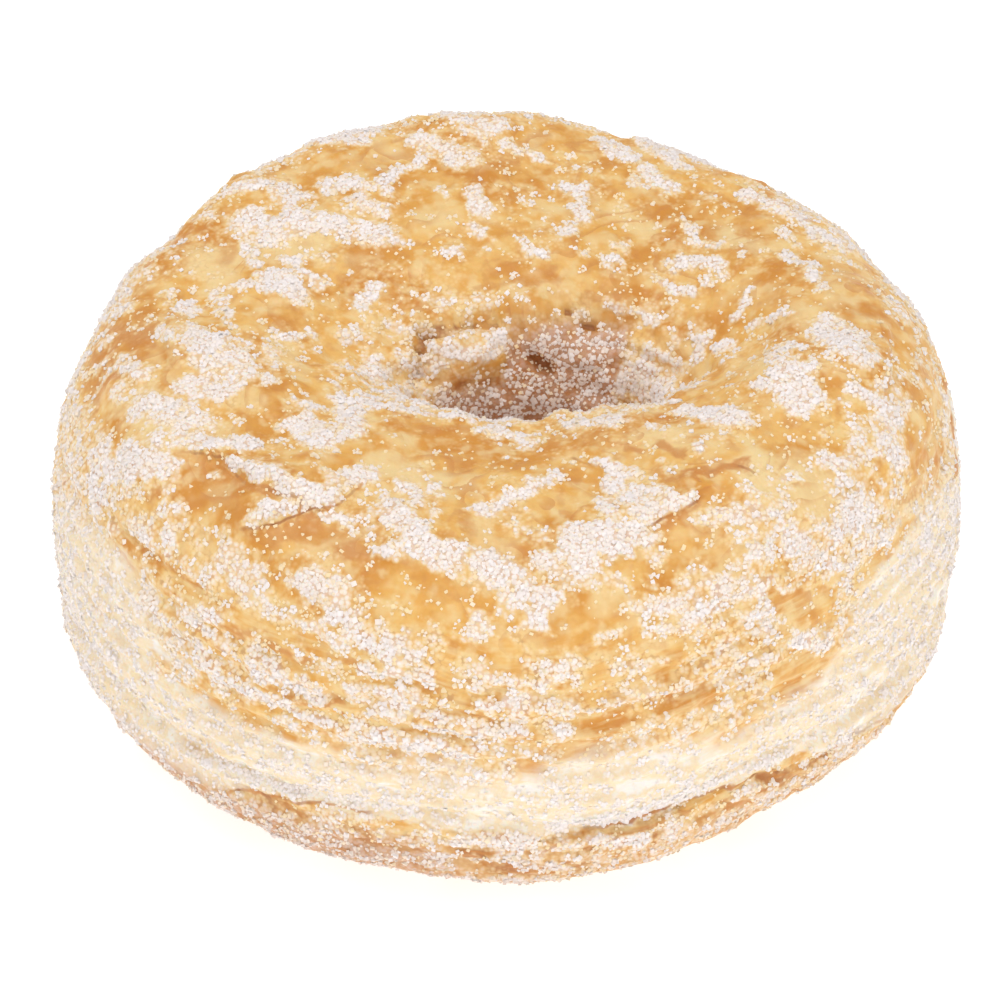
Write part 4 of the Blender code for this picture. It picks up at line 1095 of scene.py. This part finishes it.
def crust_paint(looks):
    """Fried crust: gold mottled with honey and pale dough, cream waist, brown feet and hole, with painted
    shade in creases, under the sheets' edges, between grains and deep in the hole.
    """
    paint = Paint("fried_crust")
    place = paint.node("ShaderNodeTexCoord", out="Object")
    wide = paint.noise(place, WIDE, 3.0)
    patchy = paint.noise(place, PATCHY, 3.0)
    blotchy = paint.noise(place, BLOTCHY)
    fine = paint.noise(place, FINE)
    cells = grain_cells(paint, place, GRAINS_SMALL)
    lumps = grain_cells(paint, place, GRAINS_LARGE)
    streaks = layer_streaks(paint, place)
    top, deep, sugar, on_cream = (paint.mark(name) for name in ("on_top", "depth", "sugar", "cream"))
    side = 1 - top
    ragged = (fine - 0.5) * 0.35 + (patchy - 0.5) * 0.5
    grainy = (cells - 0.5) * 0.30 + (lumps - 0.5) * 0.40
    sugary = sugar + grainy
    dough = paint.mix(streaks.ease(0.36, 0.60), looks.straw, looks.cream)
    # Partly painted shade: where the hole's wall is darkened, sugar and crust take darker colours.
    speck = paint.mix(deep * 0.9, looks.speck, looks.deep_frosting)
    gaps = paint.mix(on_cream, looks.gaps, looks.cream_gaps)
    caked = paint.mix(cells.ease(0.30, 0.60), gaps, looks.frosting)
    caked = paint.mix(deep * 0.8, caked, looks.deep_frosting)
    film = sugary.ease(0.32, 0.88, 0.0, 0.94)
    # Painted shade: dark specks between grains where sugar lies thinly.
    shade_between_grains = cells.ease(0.22, 0.44, 0.55, 0.0) * sugar.ease(0.12, 0.40) * patchy.ease(0.38, 0.60)
    shade_between_grains = shade_between_grains * (1 - on_cream * 0.85) * (side * 0.6 + 0.4)
    # Painted shade: a thin dark line along each crease.
    line = (paint.mark("crease") + (fine - 0.5) * 0.4).math("ABSOLUTE").ease(0.06, 0.26, 1.0, 0.0)
    line = line * paint.mark("creased") * patchy.ease(0.35, 0.55, 0.35, 0.90)
    # The colour of the painted shade in creases and between grains.
    folds = paint.mix(blotchy.ease(0.45, 0.60), looks.toast, looks.brown)

    crust = paint.mix(wide.ease(0.38, 0.62), looks.amber, looks.gold)
    for share, tint in (
        (patchy.ease(0.42, 0.66, 0.0, 0.85), looks.honey),
        (blotchy.ease(0.30, 0.46, 0.45, 0.0), looks.toast),
        (blotchy.ease(0.50, 0.68, 0.0, 0.55), looks.pale),
        (paint.noise(place, DOUGHY, 2.0, 0.6).ease(0.52, 0.66, 0.0, 0.55), looks.pale),
        (side * streaks.ease(0.44, 0.66, 0.0, 0.60), looks.pale),
        (side * streaks.ease(0.34, 0.46, 0.20, 0.0), looks.toast),
        ((paint.mark("pale") + ragged).ease(0.2, 1.0, 0.0, 0.85), looks.pale),
        ((on_cream + ragged * 0.8).ease(0.1, 0.9), dough),
        # The toasted mark, with painted shade under the sheets' edges.
        ((paint.mark("toasted_and_shaded") + ragged).ease(0.3, 0.95, 0.0, 0.85), looks.toast),
        # Painted shade just under the edges of the thin sheets.
        (sheet_edge_shade(paint, place, patchy) * top, looks.toast),
        ((paint.mark("brown") + ragged).ease(0.25, 0.85, 0.0, 0.9), looks.brown),
        # Brown deep in the hole, partly painted shade.
        (deep * patchy.ease(0.35, 0.65, 0.65, 0.95), looks.brown),
        (sugary.ease(0.12, 0.52, 0.0, 0.70), speck),
        (film, caked),
        (shade_between_grains, folds),
        (line, folds),
    ):
        crust = paint.mix(share, crust, tint)

    height = paint.noise(place, PIMPLED, 3.0) * 0.5 + fine * 0.8 + patchy * 1.2
    height = height + streaks * side * 0.25 + cells * film * 0.9
    bump = {"Strength": 0.4, "Distance": BUMP_DEPTH, "Height": height}
    return paint.finish(Base_Color=crust, Roughness=fine.ease(0.3, 0.7, 0.38, 0.62),
                        Normal=paint.node("ShaderNodeBump", None, bump, out="Normal"),
                        Subsurface_Weight=looks.glow, Subsurface_Radius=DOUGH_GLOW,
                        Subsurface_Scale=DOUGH_GLOW_DEPTH)


def sheet_edge_shade(paint, place, patchy):
    """Painted shade: darker just under the edge of each thin sheet, in places."""
    level = paint.mark("rolling") + (patchy - 0.5) * 0.5
    above = level.math("FRACT")
    edge = above.ease(0.0, 0.40, 1.0, 0.0) * above.ease(0.90, 1.0, 1.0, 0.0)
    return edge * paint.noise(place, IN_PLACES, 1.0).ease(0.42, 0.62, 0.0, 0.55)


def layer_streaks(paint, place):
    """Noise drawn out along the thin layers of the side."""
    across, along = (paint.axis(place, name) * STREAKS_ALONG for name in "XY")
    drawn = paint.node("ShaderNodeCombineXYZ", None,
                       {0: across, 1: along, 2: paint.mark("layer") * STREAKS_ACROSS})
    return paint.noise(drawn, 1.0, 2.5, 0.6)


def grain_cells(paint, place, scale):
    """Bright in the middle of each small round cell and dark between them."""
    return 1 - paint.node("ShaderNodeTexVoronoi", None, {"Vector": place, "Scale": scale},
                          out="Distance")


def sugar_paint(looks):
    """Sugar: clear white to honeyed across the map, and up it from painted shade to the full colour; it
    also glows a little as painted light.
    """
    paint = Paint("granulated_sugar")
    spot = paint.node("ShaderNodeUVMap", {"uv_map": "OFBake"})
    honeyed, tone_and_shade = (paint.axis(spot, name) for name in "XY")
    tint = paint.mix(honeyed.ease(0.0, 0.45), looks.clear, looks.rosy)
    tint = paint.mix(honeyed.ease(0.35, 1.0), tint, looks.honeyed)
    # Painted shade: dull grains are drawn towards the shaded colour.
    tint = paint.mix(tone_and_shade, paint.mix(0.7, tint, looks.shaded), tint)
    # Painted light: the sugar glows a little of its own, though it is no lamp.
    return paint.finish(Base_Color=tint, Roughness=0.35, Subsurface_Weight=looks.glow,
                        Subsurface_Radius=SUGAR_GLOW, Subsurface_Scale=SUGAR_GLOW_DEPTH,
                        Emission_Color=SUGAR_PAINTED_LIGHT, Emission_Strength=SUGAR_PAINTED_LIGHT_SHARE)


def new_piece(name, mesh, material):
    """A finished piece: in place in its mesh, riding on the part's one body."""
    mesh.materials.append(material)
    piece = bpy.data.objects.new(name, mesh)
    bpy.context.scene.collection.objects.link(piece)
    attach(piece, "root")
    return piece


def grain_shape():
    """One sugar crystal a unit across, as points and three-cornered faces."""
    shape = bmesh.new()
    bmesh.ops.create_cube(shape, size=1.0)
    bmesh.ops.triangulate(shape, faces=shape.faces)
    points = np.array([corner.co[:] for corner in shape.verts])
    faces = np.array([[corner.index for corner in face.verts] for face in shape.faces])
    shape.free()
    return points, faces


def turned(count, chance):
    """A turn in any direction for each of so many grains, as matrices."""
    quarter = chance.normal(size=(count, 4))
    w, x, y, z = (quarter / np.linalg.norm(quarter, axis=1, keepdims=True)).T
    rows = [[1 - 2 * (y * y + z * z), 2 * (x * y - w * z), 2 * (x * z + w * y)],
            [2 * (x * y + w * z), 1 - 2 * (x * x + z * z), 2 * (y * z - w * x)],
            [2 * (x * z - w * y), 2 * (y * z + w * x), 1 - 2 * (x * x + y * y)]]
    return np.array(rows).transpose(2, 0, 1)


def joined_grains(name, grains, chance):
    """One mesh of many crystals, each a cell of the map by how honeyed it is and by its tone with painted
    shade.
    """
    points, faces = grain_shape()
    count = len(grains["place"])
    stretch = grains["width"][:, None] * chance.uniform(0.72, 1.22, (count, 3))
    corners = points[None] * stretch[:, None]
    corners = np.einsum("nij,npj->npi", turned(count, chance), corners)
    softened = grains["normal"][:, None] + CRYSTAL_EDGE * corners / grains["width"][:, None, None]
    corners = corners + grains["place"][:, None]
    joined = faces[None] + (np.arange(count) * len(points))[:, None, None]
    mesh = bpy.data.meshes.new(name)
    total = count * len(faces)
    mesh.vertices.add(count * len(points))
    mesh.vertices.foreach_set("co", corners.ravel())
    mesh.loops.add(total * 3)
    mesh.loops.foreach_set("vertex_index", joined.ravel())
    mesh.polygons.add(total)
    mesh.polygons.foreach_set("loop_start", np.arange(total) * 3)
    mesh.update(calc_edges=True)
    tints = np.stack([grains["honeyed"], grains["tone_and_shade"]], 1)
    cell = np.floor(np.clip(tints, 0, 0.999) * PALETTE)
    uv = (cell[:, None, None, :] + IN_CELL) / PALETTE
    uv = np.broadcast_to(uv, (count, len(faces), 3, 2))
    layer = mesh.uv_layers.new(name="OFBake")
    layer.uv.foreach_set("vector", uv.astype(np.float32).ravel())
    # light passes through the crystals, so they are lit much like the crust they lie on
    mesh.shade_smooth()
    mesh.normals_split_custom_set_from_vertices(softened.reshape(-1, 3).tolist())
    return mesh


def corners_of(mesh):
    """The three points of each triangle of a mesh."""
    mesh.calc_loop_triangles()
    corners = np.empty(len(mesh.loop_triangles) * 3, np.int32)
    mesh.loop_triangles.foreach_get("vertices", corners)
    return corners.reshape(-1, 3)


def scattered(mesh, dense, chance):
    """A way to read a mesh's values at random spots of it, so dense per square metre."""
    corners = corners_of(mesh)
    sides = read(mesh)[corners]
    areas = np.linalg.norm(np.cross(sides[:, 1] - sides[:, 0], sides[:, 2] - sides[:, 0]), axis=1) / 2
    total = int(areas.sum() * dense)
    picked = np.searchsorted(np.cumsum(areas), chance.uniform(0, areas.sum(), total))
    picked = np.minimum(picked, len(corners) - 1)
    first, second = chance.uniform(size=(2, total))
    flip = first + second > 1
    first, second = np.where(flip, 1 - first, first), np.where(flip, 1 - second, second)
    shares = np.stack([1 - first - second, first, second], 1)

    def between(values):
        return np.einsum("nk,nk...->n...", shares, values[corners[picked]])

    return between


def tree_of(places):
    """The places in a tree that finds the nearest."""
    tree = kdtree.KDTree(len(places))
    for index, place in enumerate(places.tolist()):
        tree.insert(place, index)
    tree.balance()
    return tree


def apart(places, gaps):
    """Which places to keep so that none is nearer to a kept one than its gap."""
    tree = tree_of(places)
    kept = np.ones(len(places), bool)
    placed = np.zeros(len(places), bool)
    listed = places.tolist()
    for index in range(len(places)):
        if not kept[index]:
            continue
        placed[index] = True
        for _, other, _ in tree.find_range(listed[index], gaps[index]):
            if other != index and not placed[other]:
                kept[other] = False
    return kept


def marks_at(mesh, dense, chance, names):
    """Random spots on the crust, with these marks, their places and their normals."""
    between = scattered(mesh, dense / MM ** 2, chance)
    found = {name: between(marked(mesh, name)) for name in names}
    found["place"], found["normal"] = between(read(mesh)), between(read(mesh, "normal"))
    return found


def clusters(mesh, sizes, chance):
    """Middles of the small clusters in which sugar sticks where it lies thinly, in a tree."""
    found = marks_at(mesh, CLUSTER_DRAWS, chance, ("sugar", "cream"))
    likely = sizes.lonely + 0.95 * past(found["sugar"], CLUSTERED_FROM)
    likely = likely * (1 - 0.35 * found["cream"])
    place = found["place"][chance.uniform(size=len(likely)) < likely]
    place = place[apart(place, np.full(len(place), sizes.cluster * CLUSTER_GAP))]
    reach = sizes.cluster * chance.uniform(0.25, 0.80, len(place))
    return tree_of(place), reach, chance.uniform(0.35, 1.0, len(place))


def sprinkled(mesh, sizes, chance):
    """The grains that lie on the crust: their places, widths and tints."""
    tree, reach, whiteness = clusters(mesh, sizes, chance)
    found = marks_at(mesh, sizes.dense, chance, ("sugar", "depth", "cream", "on_top"))
    torn = 0.35 * noisy(found["place"], "torn") + 0.25 * noisy(found["place"], "finely torn")
    heaped = past(found["sugar"] * (1 + torn) + 0.15 * torn, HEAPED_FROM)
    nearest = [tree.find(place)[1:] for place in found["place"].tolist()]
    clustered = np.array([(away < reach[index]) * whiteness[index] for index, away in nearest])
    bare = sizes.loose * smooth(0.4 + 1.8 * noisy(found["place"], "bare patches"))
    bare = bare * (1.7 - 0.95 * found["on_top"])
    likely = np.maximum(bare, sizes.heaped * np.maximum(heaped, clustered > 0))
    kept = chance.uniform(size=len(heaped)) < likely
    found = {name: values[kept] for name, values in found.items()}
    thin = 0.50 + 0.50 * past(found["sugar"], THIN_FROM)
    white = np.maximum(heaped[kept], 0.9 * clustered[kept] * thin)
    white = white * (0.86 + 0.35 * noisy(found["place"], "whiteness"))
    count = len(white)
    width = sizes.grain * np.clip(chance.normal(1.0, 0.20, count), 0.5, 1.7) * (0.8 + 0.2 * white)
    lift = width * (chance.uniform(-0.25, 0.15, count) - 0.15 * (1 - white))
    place = found["place"] + found["normal"] * lift[:, None]
    kept = apart(place, width * GRAIN_GAP)
    kept &= place[:, 2] > GRAIN_HEIGHT * width
    honeyed = 0.95 - 0.95 * white + chance.normal(0, 0.14, count)
    honeyed = honeyed * (1 - 0.45 * found["cream"])
    # Painted shade: grains are darker deep in the hole, on the browned rim and low on the side; painted
    # light makes them lighter on the cream waist, so that their shaded sides look less grey.
    low = smooth(1.2 - place[:, 2] / 0.011)
    tone_and_shade = chance.normal(0.93, 0.10, count) - 0.65 * found["depth"] * chance.uniform(size=count)
    tone_and_shade = tone_and_shade + 0.15 * found["cream"] - 0.85 * low * chance.uniform(size=count)
    grains = {"place": place, "width": width, "honeyed": honeyed, "tone_and_shade": tone_and_shade,
              "normal": found["normal"]}
    return {name: values[kept] for name, values in grains.items()}


def a_length(name, description, default):
    """A setting in metres."""
    return FloatProperty(name=name, description=description, default=default, unit="LENGTH",
                         precision=5)


def a_share(name, description, default):
    """A setting from 0 to 1."""
    return FloatProperty(name=name, description=description, default=default, min=0, max=1,
                         subtype="FACTOR")


def a_colour(name, description, default):
    """A setting that is a colour."""
    return FloatVectorProperty(name=name, description=description, default=default, min=0, max=1,
                               subtype="COLOR")


class CrustSettings(bpy.types.PropertyGroup):
    turned_steps: IntProperty(name="Steps round", description="Points round the ring", default=400)
    top_step: a_length("Top step", "Distance between rows on top and in the hole", 0.45 * MM)
    side_step: a_length("Side step", "Height between rows of the side", 0.35 * MM)
    flake_height: a_length("Flake height", "Thickness of one thin sheet on top", 0.16 * MM)
    blister_height: a_length("Blister height", "Height of the frying blisters", 0.28 * MM)
    leaf_depth: a_length("Leaf depth", "Depth between the thin leaves of the side", 0.18 * MM)
    cake_height: a_length("Caked sugar", "Height of sugar caked under loose grains", 0.25 * MM)
    glow: a_share("Glow", "Share of light that passes under the crust", 0.15)
    amber: a_colour("Amber", "Darker golden crust", (0.645, 0.258, 0.026))
    speck: a_colour("Speck", "Sugar dust on bare crust", (0.89, 0.64, 0.30))
    gaps: a_colour("Gaps", "Crust between caked grains", (0.80, 0.61, 0.49))
    cream_gaps: a_colour("Cream gaps", "Dough between caked grains on the cream", (0.87, 0.79, 0.69))
    gold: a_colour("Gold", "Golden crust", (0.78, 0.395, 0.074))
    honey: a_colour("Honey", "Lighter golden crust", (0.84, 0.505, 0.150))
    pale: a_colour("Pale", "Pale yellow dough", (0.87, 0.66, 0.33))
    cream: a_colour("Cream", "Unbrowned dough of the waist", (0.915, 0.87, 0.80))
    straw: a_colour("Straw", "Yellower dough between the leaves", (0.90, 0.785, 0.59))
    # Toast is also the colour of painted shade under the sheets' edges and, mixed with brown, in creases
    # and between grains.
    toast: a_colour("Toast", "Browned folds", (0.60, 0.235, 0.050))
    # Brown is also painted shade in creases and deep in the hole.
    brown: a_colour("Brown", "Dark fried dough low down and in the hole", (0.42, 0.155, 0.045))
    frosting: a_colour("Frosting", "Caked sugar on the crust", (0.95, 0.87, 0.81))
    # Partly painted shade: caked sugar deep in the hole and on the browned rim is painted this dark.
    deep_frosting: a_colour("Deep frosting", "Caked sugar in the hole", (0.56, 0.265, 0.130))


class SugarSettings(bpy.types.PropertyGroup):
    seed: IntProperty(name="Seed", description="Start of the random draws", default=7)
    grain: a_length("Grain", "Width of a middling crystal", 0.35 * MM)
    dense: FloatProperty(name="Grains per square millimetre", description="Draws before thinning",
                         default=30.0)
    heaped: a_share("Heaped share", "Share of draws kept where sugar is thick", 0.36)
    cluster: a_length("Cluster", "Width of a small cluster of crystals", 0.8 * MM)
    lonely: a_share("Lonely clusters", "Share of clusters on bare crust", 0.05)
    loose: a_share("Loose share", "Share of draws kept on bare crust", 0.035)
    glow: a_share("Glow", "Share of light that passes into the sugar", 0.0)
    clear: a_colour("Clear", "Heaped sugar", (0.862, 0.79, 0.772))
    rosy: a_colour("Rosy", "Thin sugar", (0.85, 0.74, 0.66))
    honeyed: a_colour("Honeyed", "Single grains with crust showing through", (0.86, 0.64, 0.31))
    # Painted shade: the dark colour of grains deep in the hole and low down.
    shaded: a_colour("Shaded", "Damp grains", (0.60, 0.385, 0.265))


class StageSettings(bpy.types.PropertyGroup):
    floor: a_colour("Floor", "Colour of the floor", (0.55, 0.55, 0.55))
    floor_glow: FloatProperty(name="Floor glow", description="Light from the lit table itself",
                              default=0.72)
    distance: FloatProperty(name="Distance", description="From the camera to the ring's middle",
                            default=0.380, unit="LENGTH")
    elevation: FloatProperty(name="Elevation", description="Angle of the camera above the table",
                             default=math.radians(40), subtype="ANGLE")
    ambient: FloatProperty(name="Ambient", description="Brightness of the surrounding studio",
                           default=0.72)
    key: FloatProperty(name="Key", description="Power of the big soft light", default=2.3,
                       subtype="POWER")
    fill: FloatProperty(name="Fill", description="Power of the low front light", default=1.2,
                        subtype="POWER")


class PASTRY_OT_crust(bpy.types.Operator):
    """Turn, grow and brown the crust that stands for the part's node"""
    bl_idname = "pastry.crust"
    bl_label = "Crust"

    def execute(self, context):
        sizes = context.scene.pastry_crust
        piece = new_piece("crust", shaped_crust(sizes), crust_paint(sizes))
        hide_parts("cronut")
        return {"FINISHED"}


class PASTRY_OT_sugar(bpy.types.Operator):
    """Scatter sugar crystals over the crust, heaped where it lies thickly"""
    bl_idname = "pastry.sugar"
    bl_label = "Sugar"

    def execute(self, context):
        sizes = context.scene.pastry_sugar
        chance = np.random.default_rng(sizes.seed)
        grains = sprinkled(bpy.data.objects["crust"].data, sizes, chance)
        material = sugar_paint(sizes)
        bearing = np.arctan2(grains["place"][:, 1], grains["place"][:, 0])
        ends = np.linspace(-math.pi, math.pi, SUGAR_PIECES + 1)
        for number, (low, high) in enumerate(zip(ends, ends[1:])):
            part = (bearing >= low) & (bearing < high)
            name = f"sugar_{number}"
            mesh = joined_grains(name, {key: values[part] for key, values in grains.items()}, chance)
            new_piece(name, mesh, material)
        return {"FINISHED"}


class PASTRY_OT_stage(bpy.types.Operator):
    """Set the pale floor, the soft studio lights and the camera"""
    bl_idname = "pastry.stage"
    bl_label = "Stage"

    def execute(self, context):
        sizes = context.scene.pastry_stage
        lay_floor(sizes)
        hang_lights(sizes)
        place_camera(sizes)
        return {"FINISHED"}


def lay_floor(sizes):
    """The pale floor, which glows a little so that it comes out white."""
    shape = bmesh.new()
    bmesh.ops.create_grid(shape, x_segments=1, y_segments=1, size=FLOOR_HALF)
    mesh = bpy.data.meshes.new("floor")
    shape.to_mesh(mesh)
    shape.free()
    paint = Paint("pale_floor")
    cloud = paint.noise(paint.node("ShaderNodeTexCoord", out="Object"), 3.0)
    tint = paint.mix(cloud, sizes.floor, [0.98 * share for share in sizes.floor])
    mesh.materials.append(paint.finish(Base_Color=tint, Roughness=0.9, Emission_Color=(1, 1, 1, 1),
                                       Emission_Strength=sizes.floor_glow))
    floor = bpy.data.objects.new("floor", mesh)
    bpy.context.scene.collection.objects.link(floor)


def aimed(name, data, place, target):
    """An object that looks from its place at the target."""
    thing = bpy.data.objects.new(name, data)
    thing.location = place
    thing.rotation_euler = (Vector(target) - Vector(place)).to_track_quat("-Z", "Y").to_euler()
    bpy.context.scene.collection.objects.link(thing)
    return thing


def hang_lights(sizes):
    """The bright studio round the ring, a big light above it and a low one in front."""
    world = bpy.data.worlds.new("studio")
    world.use_nodes = True
    background = world.node_tree.nodes["Background"]
    background.inputs["Color"].default_value = (1.0, 1.0, 1.0, 1.0)
    background.inputs["Strength"].default_value = sizes.ambient
    bpy.context.scene.world = world
    for name, power, (width, place) in (("key", sizes.key, KEY_LIGHT),
                                        ("fill", sizes.fill, FILL_LIGHT)):
        light = bpy.data.lights.new(name, "AREA")
        light.shape = "SQUARE"
        light.size = width
        light.energy = power
        aimed(name, light, place, (0, 0, MIDDLE_HEIGHT))


def place_camera(sizes):
    """The camera, at the photo's angle to the table."""
    camera = bpy.data.cameras.new("camera")
    camera.lens = LENS
    camera.sensor_width = SENSOR
    camera.shift_x, camera.shift_y = LENS_SHIFT
    camera.clip_start = 0.01
    back = sizes.distance * math.cos(sizes.elevation)
    up = sizes.distance * math.sin(sizes.elevation)
    scene = bpy.context.scene
    scene.camera = aimed("camera", camera, (0.0, -back, MIDDLE_HEIGHT + up), (0.0, 0.0, MIDDLE_HEIGHT))
    scene.view_settings.view_transform = "Standard"


class PASTRY_PT_panel(bpy.types.Panel):
    """The pastry's pieces, in the sidebar"""
    bl_idname = "PASTRY_PT_panel"
    bl_label = "Sugared ring"
    bl_space_type = "VIEW_3D"
    bl_region_type = "UI"
    bl_category = "Pastry"

    def draw(self, context):
        for operator in OPERATORS:
            self.layout.operator(operator.bl_idname)
        for settings in GROUPS:
            group = getattr(context.scene, settings)
            box = self.layout.box()
            for name in group.__annotations__:
                box.prop(group, name)


OPERATORS = (PASTRY_OT_crust, PASTRY_OT_sugar, PASTRY_OT_stage)
GROUPS = {"pastry_crust": CrustSettings, "pastry_sugar": SugarSettings,
          "pastry_stage": StageSettings}


def register():
    """Add the settings, the operators and the panel."""
    for name, group in GROUPS.items():
        bpy.utils.register_class(group)
        setattr(bpy.types.Scene, name, PointerProperty(type=group))
    for shown in (*OPERATORS, PASTRY_PT_panel):
        bpy.utils.register_class(shown)


def unregister():
    """Take them away again."""
    for shown in (PASTRY_PT_panel, *reversed(OPERATORS)):
        bpy.utils.unregister_class(shown)
    for name, group in GROUPS.items():
        delattr(bpy.types.Scene, name)
        bpy.utils.unregister_class(group)


def main():
    """Build the pastry and its stage."""
    register()
    bpy.ops.pastry.crust()
    bpy.ops.pastry.sugar()
    bpy.ops.pastry.stage()


if __name__ == "__main__":
    main()
